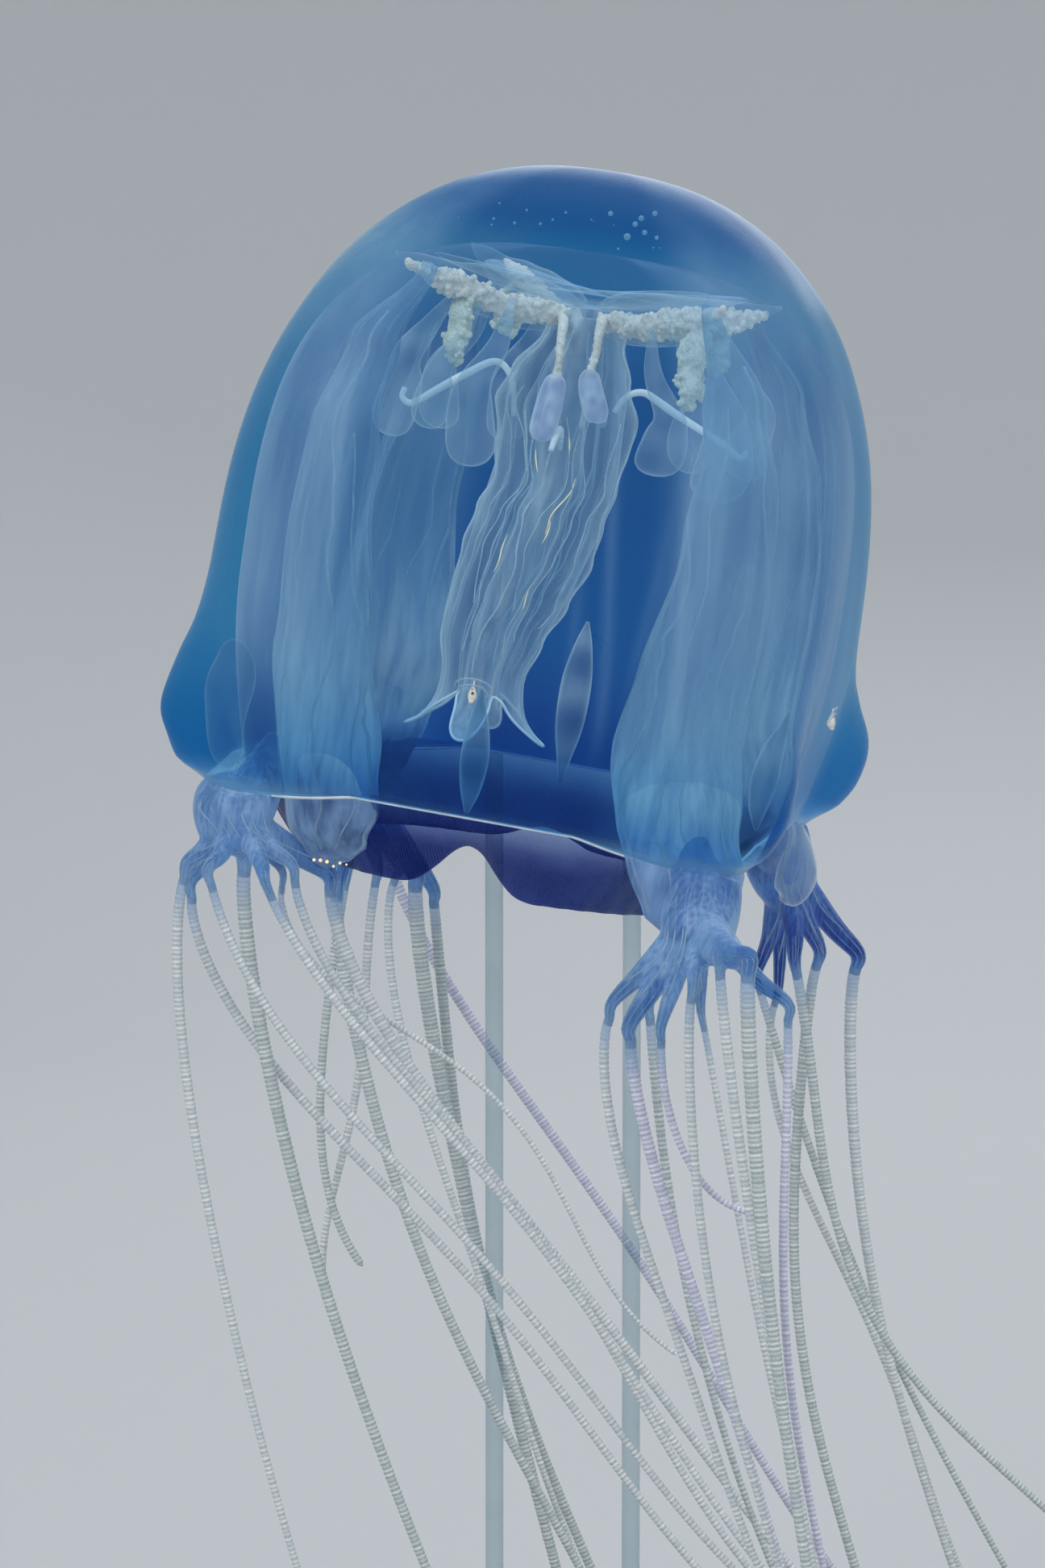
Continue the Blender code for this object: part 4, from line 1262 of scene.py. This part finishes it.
# Pale threads run down the tube's corners and between them
ribs = []
for number, degrees in enumerate((0, 24, 45, 66, 90, 135, 180, 222, 240, 256, 270, 284, 300, 318, 340)):
    corner_rib = degrees % 90 == 0
    start, stop = (142, 33) if corner_rib else (130 - number % 3 * 7, 40 + number % 4 * 5)
    ribs.append(thread(down_the_tube(degrees, start, stop, 0.10), 0.3 if corner_rib else 0.2))
finish_piece("mouth_tube_threads", join_shapes(ribs), [THREAD], [], in_bell=True)


def painted_glint_glow():
    """Painted highlight: threads so thin and wet that they stand for the lamps' gold-white glints, glowing by
    their own emission.
    """
    material, tree, out = new_material("painted glint, gold-white glow")
    place = add_node(tree, "TexCoord").outputs["Object"]
    painted_sparks = add_node(tree, "TexNoise", {"Vector": place, "Scale": 700.0, "Detail": 1.0}).outputs["Fac"]
    tone = add_node(
        tree, "Mix", {"Factor": painted_sparks, 6: linear("#f6b566"), 7: linear("#ffedc8")}, data_type="RGBA"
    ).outputs[2]
    wet = add_node(
        tree, "BsdfPrincipled",
        {"Base Color": tone, "Roughness": 0.08, "IOR": 1.4, "Emission Color": tone, "Emission Strength": 0.6},
    )
    tree.links.new(wet.outputs[0], out.inputs[0])
    return material


# Painted highlights: short glowing gold-white streaks on the mouth tube's pleats, standing in for glints of
# light
PAINTED_GLINTS = [
    # (bearing, top, bottom)
    (262, 124, 112), (262, 105, 98), (284, 112, 104), (296, 98, 80), (287, 84, 77), (250, 78, 66),
    (236, 100, 92), (296, 62, 56),
]
GLINT_STEPS = 16
painted_glints = []
for degrees, start, stop in PAINTED_GLINTS:
    path = down_the_tube(degrees, start, stop, 0.10, count=GLINT_STEPS)
    widths = [0.08 + 0.16 * math.sin(math.pi * i / (GLINT_STEPS - 1)) for i in range(GLINT_STEPS)]
    painted_glints.append(tube(path, widths, sides=6))
PAINTED_GLINT = painted_glint_glow()
finish_piece("tube_painted_glints", join_shapes(painted_glints), [PAINTED_GLINT], [], in_bell=True)

MESENTERIES = {
    # by bearing: knots of (reach, height) from the mouth tube outwards
    0: [
        (12, 119), (14, 123), (17, 125.6), (20.6, 126.2), (24.6, 124.5), (31.4, 121.2), (39.5, 117.7),
        (47.6, 114.3), (52.6, 111.4), (54.4, 113.8),
    ],
    90: [(14, 112), (17, 121), (22, 126), (28, 127), (36, 122), (44, 117), (51, 112.6), (54, 114)],
    180: [
        (18.7, 113), (20.4, 122), (23.6, 127.4), (28, 128.4), (35, 123.9), (42, 118.8), (48.9, 113.4),
        (52, 111.9), (54.4, 113.6), (54, 116.5),
    ],
    270: [(16, 106), (18, 110), (21, 112), (26, 110), (30, 106)],
}
folds = []
for degrees, knots in MESENTERIES.items():
    turn, rows = math.radians(degrees), smooth_path(knots, 8)
    path = [(reach * math.cos(turn), reach * math.sin(turn), height) for reach, height in rows]
    folds.append(tube(path, [1.3 - 0.9 * abs(i / len(path) - 0.5) for i in range(len(path))], sides=12))

# A pale thread also outlines the lips
hem_ring = tube_ring(TUBE_END, lips=1.0)
folds.append(thread(hem_ring + hem_ring[:1], 0.45, sides=8))
CORD = pale_thread("white mesentery edge", "#eef3f6", "#ffffff", 1.0)
finish_piece("mesentery_edges", join_shapes(folds), [CORD], [], in_bell=True)

# Small pale specks, trapped in the jelly of the crown
specks = bmesh.new()
chance = random.Random(11)
CLUSTER = [
    (7, -30, 178), (15, -31, 176), (13, -30, 172), (18, -30, 174), (20, -29, 180), (16, -28, 178),
    (22, -31, 173),
]
for middle in CLUSTER:
    place = Matrix.Translation(Vector(middle) * MM)
    bmesh.ops.create_icosphere(specks, subdivisions=2, radius=chance.uniform(0.5, 1.1) * MM, matrix=place)
for _ in range(16):
    middle = Vector((chance.uniform(-45, 45), chance.uniform(-40, 40), chance.uniform(168, 177)))
    place = Matrix.Translation(middle * MM)
    bmesh.ops.create_icosphere(specks, subdivisions=1, radius=chance.uniform(0.2, 0.5) * MM, matrix=place)
SPECK = pale_thread("pale trapped speck", "#a9c2d6", "#d3e0ea", 0.5)
finish_piece("crown_specks", specks, [SPECK], [], in_bell=True)


# --------------------------------------------------------------------- tentacle courses
# The tentacles stream down and to the right from their fingers' tips, eight, seven, nine and five of them
# from the four pedalia a to d. These courses run where the imported solids of the tentacles run.

# Each tentacle starts at (x, y, z), and its lean from the vertical passes from lean_top to lean_low:
# lean = top + (low - top) * share ** ease + wave * sin(2 pi share).
# Nearly all of these figures came out of a curve fit and weren't chosen as sizes.
TENTACLES = {
    # name: (x, y, z, lean_top, lean_low, wave, ease, length, width_top, width_low, split)
    "a1": (-99.7, -62, 349.7, -44, 17.5, 0.7, 0.15, 228, 3.3, 2.1, False),
    "a2": (-98.6, -50, 342.8, -42, 49.6, 9.4, 0.15, 293, 3.1, 2.2, True),
    "a3": (-90.9, -74, 348.7, 12, 54.7, 10.2, 0.61, 291, 2.8, 2.1, True),
    "a4": (-82.5, -56, 351.5, -26, 21.8, -1.0, 0.15, 265, 4.5, 2.6, True),
    "a5": (-73.4, -80, 346.6, 7, 40.4, 6.5, 0.15, 263, 2.8, 2.1, True),
    "a6": (-66.8, -68, 349.3, -22, 41.8, 9.7, 0.15, 259, 2.8, 2.1, True),
    "a7": (-57.5, -44, 344.3, -32, 45.2, 5.4, 0.15, 294, 4.1, 2.2, True),
    "a8": (-72.4, -38, 344.5, -50, 56.0, 24.0, 0.18, 191, 2.0, 1.3, False),
    "b1": (-58.5, 78, 334.7, -10, 37.1, 1.5, 2.76, 131, 3.2, 2.7, False),
    "b2": (-48.7, 86, 334.8, -10, 11.8, 7.0, 6.0, 143, 3.2, 2.4, False),
    "b3": (-41.8, 70, 336.8, -57, 26.7, 4.6, 0.15, 265, 2.9, 2.1, True),
    "b4": (-35.8, 94, 332.4, -14, 16.1, 0.5, 0.15, 284, 5.4, 3.2, True),
    "b5": (-29.8, 102, 326.2, 5, 23.1, -3.1, 0.92, 270, 3.8, 3.2, True),
    "b6": (-60.5, 62, 332.3, -28, 27.2, -3.0, 0.15, 252, 4.7, 2.6, True),
    "b7": (-48.5, 110, 353.6, -21, 39.5, 5.8, 0.15, 336, 3.8, 2.7, True),
    "c1": (24.9, -100, 312.9, -56, 27.2, 4.1, 0.15, 192, 3.0, 2.1, False),
    "c2": (30.8, -106, 307.2, -16, 21.6, 2.9, 0.15, 211, 3.7, 2.5, False),
    "c3": (36.7, -94, 312.1, 4, 24.9, 0.2, 1.16, 183, 3.0, 1.8, False),
    "c4": (39.3, -112, 308.0, -1, 84.3, 4.9, 1.84, 61, 2.7, 1.8, False),
    "c5": (47.7, -118, 321.4, -28, 15.5, -2.3, 0.15, 195, 2.9, 2.0, False),
    "c6": (52.3, -88, 309.5, 11, 15.1, -0.8, 2.74, 177, 2.1, 1.9, False),
    "c7": (55.3, -124, 328.9, -3, 11.3, -0.5, 0.15, 206, 3.2, 2.3, False),
    "c8": (62.5, -136, 329.6, -11, 9.4, -0.8, 0.15, 223, 4.5, 2.7, False),
    "c9": (74.0, -130, 316.1, 1, 12.8, -3.3, 2.12, 172, 2.7, 2.2, False),
    "d1": (88.4, 46, 308.8, 11, 44.1, -10.4, 1.03, 226, 3.6, 2.1, False),
    "d2": (95.4, 52, 311.0, -35, 12.3, -5.9, 0.16, 245, 3.6, 3.1, False),
    "d3": (108.4, 58, 309.0, -29, 18.2, -2.3, 0.19, 233, 4.2, 2.4, False),
    "d4": (77.5, 64, 301.6, 16, 29.4, -1.4, 0.77, 228, 2.9, 2.1, False),
    "d5": (83.2, 70, 296.9, -21, 40.1, 12.6, 0.48, 246, 2.6, 2.4, False),
}


def course(row, count):
    """Points down one tentacle, at even steps."""
    x, y, z, lean_top, lean_low, wave, ease, length, *_ = row
    place, points = Vector((x, y, z)), []
    for i in range(count + 1):
        points.append(place.copy())
        share = min(1.0, (i + 0.5) / count)
        lean = lean_top + (lean_low - lean_top) * share**ease + wave * math.sin(2 * math.pi * share)
        lean = math.radians(lean)
        place += Vector((math.sin(lean), 0.0, -math.cos(lean))) * (length / count)
    return points


# -------------------------------------------------------------------------- pillar threads
# Pale folds of the gut wall run down every pillar, wandering a little, from near the stomach to its foot.
# Each is a thin, half-clear strand that lies on the pillar's skin.
GUT_FOLDS = [
    # (bearing about the pillar, top, half width)
    (-70, 96, 0.5), (-38, 128, 0.35), (-8, 84, 0.3), (30, 140, 0.45), (62, 104, 0.3), (85, 60, 0.5),
]
GUT_FOLD_END, GUT_FOLD_STEPS = -21.0, 70
gut_folds = []
for number, (degrees, knots, swing) in enumerate(PILLARS.values()):
    for place, top, half in GUT_FOLDS:
        path = []
        for step in range(GUT_FOLD_STEPS):
            height = top + (GUT_FOLD_END - top) * step / (GUT_FOLD_STEPS - 1)
            wander = 10.0 * math.sin(height / 19.0 + place) + 5.0 * math.sin(height / 7.0 + number)
            ring = pillar_ring(height, math.radians(degrees), knots, swing)
            path.append(ring[round((place + wander) / 360 * len(ring)) % len(ring)])
        gut_folds.append(thread(smooth_path(path[::3], 4), half))
finish_piece("pillar_threads", join_shapes(gut_folds), [RIM], [], in_bell=True)


# ------------------------------------------------------------------------------- pedalia
# Under each lobe hangs a pedalium: a flat, fleshy palm of milky jelly that parts into one finger for each
# tentacle. The palm grows out of the pillar's foot and the lobe; fingers run from clear blue to white tips.
KNUCKLES = {
    # letter of its tentacles: (corner, bearing, where the palm parts into fingers)
    "a": ("left_near", 225, (-82.0, -60.0, 361.0)),
    "b": ("left_far", 135, (-54.0, 88.0, 357.0)),
    "c": ("right_near", 315, (49.0, -102.0, 332.0)),
    "d": ("right_far", 45, (88.0, 59.0, 330.0)),
}
PALM_RING, STEM_RING, STEM_HEIGHT = 102.0, 90.0, 12.0
PALM_HALF, PALM_FLESH_VOXEL = 11.5, 0.8
DOWN = -(BELL.to_3x3() @ Vector((0.0, 0.0, 1.0)))
PALM = clear_tissue(
    "fleshy pedalium", ("#c3dcf0", "#86afe0", "#5a68bc"), body="#4f82bd", pale="#9dc0e2",
    haze=(0.06, 0.5, 0.45), edge=(0.5, 2.4), streaks=0.35, strand=1.3, rough=0.3,
)


def in_pose(x, y, z):
    """Where a place in the upright bell's own millimetres stands once the bell is tilted."""
    return (BELL @ (Vector((x, y, z)) * MM)) / MM


streams = []
for letter, (corner, degrees, knuckle) in KNUCKLES.items():
    angle = math.radians(degrees)
    knuckle = Vector(knuckle)
    root = in_pose(PALM_RING * math.cos(angle), PALM_RING * math.sin(angle), -LOBE_DROP - 1.2)
    inner_root = in_pose(STEM_RING * math.cos(angle), STEM_RING * math.sin(angle), STEM_HEIGHT)
    neck = root + DOWN * 5.0
    wrist = knuckle.lerp(neck, 0.15)
    palm_knots = smooth_path(
        [
            (*(root - DOWN * 6.0), 1.0),
            (*(root - DOWN * 3.5), 6.0),
            (*(root + DOWN * 1.0), PALM_HALF - 1.0),
            (*neck.lerp(knuckle, 0.3), PALM_HALF),
            (*neck.lerp(knuckle, 0.75), PALM_HALF - 1.5),
            (*(knuckle + (knuckle - neck).normalized() * 4.0), 4.6),
        ],
        6,
    )
    parts = [tube_along(palm_knots, sides=24)]
    stem_knots = smooth_path([(*inner_root, 1.5), (*inner_root.lerp(wrist, 0.5), 7.5), (*wrist, 7.0)], 6)
    parts.append(tube_along(stem_knots, sides=20))
    tips, webs = [], []
    for name, row in TENTACLES.items():
        if name[0] != letter:
            continue
        points = course(row, 48)
        tip, back = points[0], (points[0] - points[1]).normalized()
        aside = Vector((tip.x - knuckle.x, tip.y - knuckle.y, 0.0))
        start = neck.lerp(wrist, 0.6) + aside * 0.16
        bend = wrist.lerp(tip, 0.5) + Vector((aside.x * 0.14, aside.y * 0.24, 2.0))
        wide = row[8] / 2
        finger = smooth_path(
            [
                (*start, wide * 1.4 + 1.8),
                (*bend, wide * 1.35 + 0.9),
                (*(tip + back * 4.0 + Vector((0, 0, 0.8))), wide * 1.2 + 0.2),
                (*tip, wide),
                (*(tip - back * 2.5), wide * 0.9),
            ],
            6,
        )
        parts.append(tube_along(finger, sides=14))
        slant = max(-0.9, min(0.9, aside.x / 26.0))
        bearing = Vector((slant, -math.sqrt(1.0 - slant * slant), 0.0))
        palm_line = smooth_path(
            [
                tuple(root + DOWN * 1.0 + bearing * 9.0),
                tuple(neck + bearing * PALM_HALF),
                tuple(wrist.lerp(knuckle, 0.5) + bearing * (PALM_HALF - 1.5)),
                tuple(Vector(finger[8][:3]) + bearing * finger[8][3] * 0.95),
                tuple(Vector(finger[13][:3]) + bearing * finger[13][3] * 0.95),
            ],
            8,
        )
        streams.append(thread(palm_line, 0.24))
        for aslant in (-0.84, -0.3, 0.42, 0.84):
            line = [Vector(knot[:3]) for knot in finger[3:]]
            course_down = [(after - before).normalized() for before, after in zip(line, line[1:])]
            across = [Vector((-step.z, 0.0, step.x)) for step in course_down]
            forward = -math.sqrt(1.0 - aslant * aslant)
            edge_line = [
                tuple(place + knot[3] * 0.93 * (side * aslant + Vector((0.0, forward, 0.0))))
                for place, side, knot in zip(line, across, finger[3:])
            ]
            streams.append(thread(edge_line, 0.16 + 0.1 * abs(aslant)))
        tips.append(tip)
        webs.append(aside)
    webs.sort(key=lambda aside: math.atan2(aside.y, aside.x))
    for one, other in zip(webs, webs[1:]):
        middle = (one + other) * 0.28
        web_knots = [
            (*neck.lerp(wrist, 0.4), 5.0),
            (*(wrist + middle * 0.45), 4.0),
            (*(wrist + middle + DOWN * 4.0), 1.6),
        ]
        parts.append(tube_along(smooth_path(web_knots, 5), sides=12))
    hand = grown_together(join_shapes(parts), PALM_FLESH_VOXEL, 7)

    def paleness(x, y, z):
        """Milky palm, clear fingers, milky again at the tips."""
        here = Vector((x, y, z))
        to_tip = min((here - tip).length for tip in tips)
        palm_share = eased((here - knuckle).length, 34, 10)
        clouds = 0.6 + 0.4 * wavering(x, y, z / 2.5, 6.0)
        return min(1.0, 0.2 + palm_share * clouds + 0.5 * eased(to_tip, 9, 1))

    def fingerness(x, y, z):
        """Deepest blue along the fingers, between the palm and the tips."""
        to_tip = min((Vector((x, y, z)) - tip).length for tip in tips)
        return min(1.0, shade + darkness * eased(to_tip, 34, 12) * eased(to_tip, 1, 6))

    shade, darkness = (0.45, 0.4) if corner == "right_far" else (0.25, 0.1)
    mark(hand, "milk", paleness)
    mark(hand, "deep", fingerness)
    nodes = [f"pedalium_{corner}"]
    lets_lamps_in(finish_piece(f"pedalium_hand_{corner}", hand, [PALM], nodes))

# Fine pale threads of muscle run down every palm and finger
finish_piece("finger_threads", join_shapes(streams), [RIM], [])

# Painted highlights: a few glowing gold sparks under the left near pillar's foot, standing in for glints of
# light
painted_sparks = bmesh.new()
chance = random.Random(5)
for step in range(6):
    place = Vector((-61.0 + 1.9 * step, -72.0, 355.6 - 0.35 * step + chance.uniform(-0.7, 0.7))) * MM
    bmesh.ops.create_icosphere(
        painted_sparks, subdivisions=2, radius=chance.uniform(0.3, 0.55) * MM, matrix=Matrix.Translation(place)
    )
finish_piece("foot_painted_glints", painted_sparks, [PAINTED_GLINT], [])

# A clear, pear-shaped sac hangs by the right far pedalium, and the two left lobes each hold a clear fold
SAC = [
    # (x, y, z, half width)
    (86, 42, 361, 0.8), (87.5, 42, 356, 2.6), (88.5, 42, 349, 4.8), (88, 42, 341, 6.6),
    (85.5, 42, 334.5, 5.2), (83.5, 42, 332, 1.2),
]
sac = tube_along(smooth_path(SAC, 8), sides=28)
mark(sac, "milk", lambda x, y, z: 0.6 + 0.4 * wavering(x, y, z, 6.0))
mark(sac, "deep", lambda x, y, z: 0.2)
lets_lamps_in(finish_piece("pear_sac", sac, [SACCULE], []))

folds = bmesh.new()
for quarter in (1, 2):
    bearing = Matrix.Rotation(math.radians(45 + 90 * quarter), 4, "Z")
    place = bearing @ Matrix.Translation(Vector((107, 0, 20)) * MM)
    size = Matrix.Diagonal((4.5, 9.0, 19.0, 1.0))
    bmesh.ops.create_uvsphere(folds, u_segments=40, v_segments=24, radius=MM, matrix=place @ size)
for vert in folds.verts:
    x, y, z = vert.co / MM
    vert.co += Vector((wavering(x, y, z, 16.0), wavering(y, z, x, 16.0), 0.0)) * 4.0 * MM
mark(folds, "milk", lambda x, y, z: 0.35 + 0.3 * wavering(x, y, z, 9.0))
mark(folds, "deep", lambda x, y, z: 0.0)
FOLD = clear_tissue(
    "clear lobe fold", ("#e9f2f8", "#d9e6f2", "#c4d2ea"), body="#7fa6c8", pale="#b4cddc",
    haze=(0.02, 0.10, 0.6), edge=(0.5, 2.8), streaks=0.3, rough=0.35,
)
lets_lamps_in(finish_piece("lobe_folds", folds, [FOLD], [], in_bell=True))


# ------------------------------------------------------------------------------- tentacles
# Every tentacle is a stretchy thread, ringed by raised bands of stinging cells 1.4 mm apart. The bands are
# chalk white and dry-looking, and the thin skin between them is a half-clear grey or lavender.
RING_PITCH = 1.4
STEPS_PER_RING = 4
SMOOTH_START = 7.0  # the first few millimetres are finger-like, without rings
FRESH_END = 16.0  # and the finger's clear blue fades out along this length


def ringed_skin(name, band, gap, lavender):
    """Chalky bands of stinging cells on thin, half-clear skin; each band is broken into small beads."""
    material, tree, out = new_material(name)
    crest = add_node(tree, "Attribute", attribute_name="crest").outputs["Fac"]
    place = add_node(tree, "TexCoord").outputs["Object"]
    beads = add_node(tree, "TexNoise", {"Vector": place, "Scale": 1400.0, "Detail": 2.0}).outputs["Fac"]
    patches = add_node(tree, "TexNoise", {"Vector": place, "Scale": 110.0, "Detail": 2.0}).outputs["Fac"]
    broken = add_node(tree, "Math", {0: beads, 1: 0.7, 2: -0.35}, operation="MULTIPLY_ADD").outputs[0]
    cover = add_node(tree, "Math", {0: crest, 1: broken}, operation="ADD", use_clamp=True).outputs[0]
    white = add_node(
        tree, "Mix", {"Factor": patches, 6: linear(band), 7: linear(lavender)}, data_type="RGBA"
    ).outputs[2]
    tone = add_node(tree, "Mix", {"Factor": cover, 6: linear(gap), 7: white}, data_type="RGBA").outputs[2]
    solid = add_node(tree, "MapRange", {"Value": cover, "To Min": 0.7, "To Max": 1.0}).outputs[0]
    fresh = add_node(tree, "Attribute", attribute_name="fresh").outputs["Fac"]
    tone = add_node(
        tree, "Mix", {"Factor": fresh, 6: tone, 7: linear("#8fb1d6")}, data_type="RGBA"
    ).outputs[2]
    clear = add_node(tree, "Math", {0: fresh, 1: -0.35, 2: solid}, operation="MULTIPLY_ADD").outputs[0]
    skin = add_node(tree, "BsdfPrincipled", {"Base Color": tone, "Roughness": 0.42, "Alpha": clear})
    tree.links.new(skin.outputs[0], out.inputs[0])
    return material


SKINS = {
    "white": ringed_skin("white ringed tentacle", "#fffef8", "#c0cbd1", "#f3f5f3"),
    "grey": ringed_skin("grey ringed tentacle", "#f6f8f0", "#a9b8bd", "#e2e7e3"),
    "lavender": ringed_skin("lavender ringed tentacle", "#fdfaff", "#bdc1da", "#ece8f8"),
}
SKIN_OF = {"b7": "lavender", "c2": "lavender", "c4": "lavender", "c9": "lavender", "c8": "grey", "b4": "grey"}
SKIN_OF |= {name: "grey" for name in ("a4", "b1", "b5", "b6", "c3", "d1", "d2", "d4")}
SIDES = 10


def tentacle_mesh(name, row, seed):
    """A tube whose width rises and falls with every ring, closed by a blunt tip."""
    length, width_top, width_low = row[7:10]
    count = int(length / RING_PITCH * STEPS_PER_RING)
    points = course(row, count)
    chance = random.Random(seed)
    swing = [chance.uniform(-0.35, 0.35) for _ in range(count // STEPS_PER_RING + 2)]
    strength = [chance.uniform(0.55, 1.0) for _ in swing]
    radii, crests = [], []
    for i in range(count + 1):
        ring, part = divmod(i, STEPS_PER_RING)
        crest = 0.5 - 0.5 * math.cos(2 * math.pi * (part + 0.5 + swing[ring]) / STEPS_PER_RING)
        away = i * length / count
        ringed = eased(away, 1.0, SMOOTH_START)
        crest = crest * strength[ring] * ringed + 0.25 * (1.0 - ringed)
        share = away / length
        wide = 0.5 * (width_top + (width_low - width_top) * share)
        blunt = min(1.0, (length - away) / (1.6 * wide) + 0.25)
        radii.append(wide * (0.9 + 0.16 * crest) * blunt)
        crests.append(crest)
    shape = tube(points, radii, sides=SIDES)
    shape.verts.ensure_lookup_table()
    crest_layer = shape.verts.layers.float.new("crest")
    fresh_layer = shape.verts.layers.float.new("fresh")
    for i, vert in enumerate(shape.verts):
        step = min(i // SIDES, count)
        vert[crest_layer] = crests[step]
        vert[fresh_layer] = eased(step * length / count, FRESH_END, 0.0)
    return shape


for seed, (name, row) in enumerate(TENTACLES.items()):
    nodes = [f"tentacle_{name}_upper", f"tentacle_{name}_lower"] if row[-1] else [f"tentacle_{name}"]
    skin = SKINS[SKIN_OF.get(name, "white")]
    finish_piece(f"ringed_tentacle_{name}", tentacle_mesh(name, row, seed), [skin], nodes)
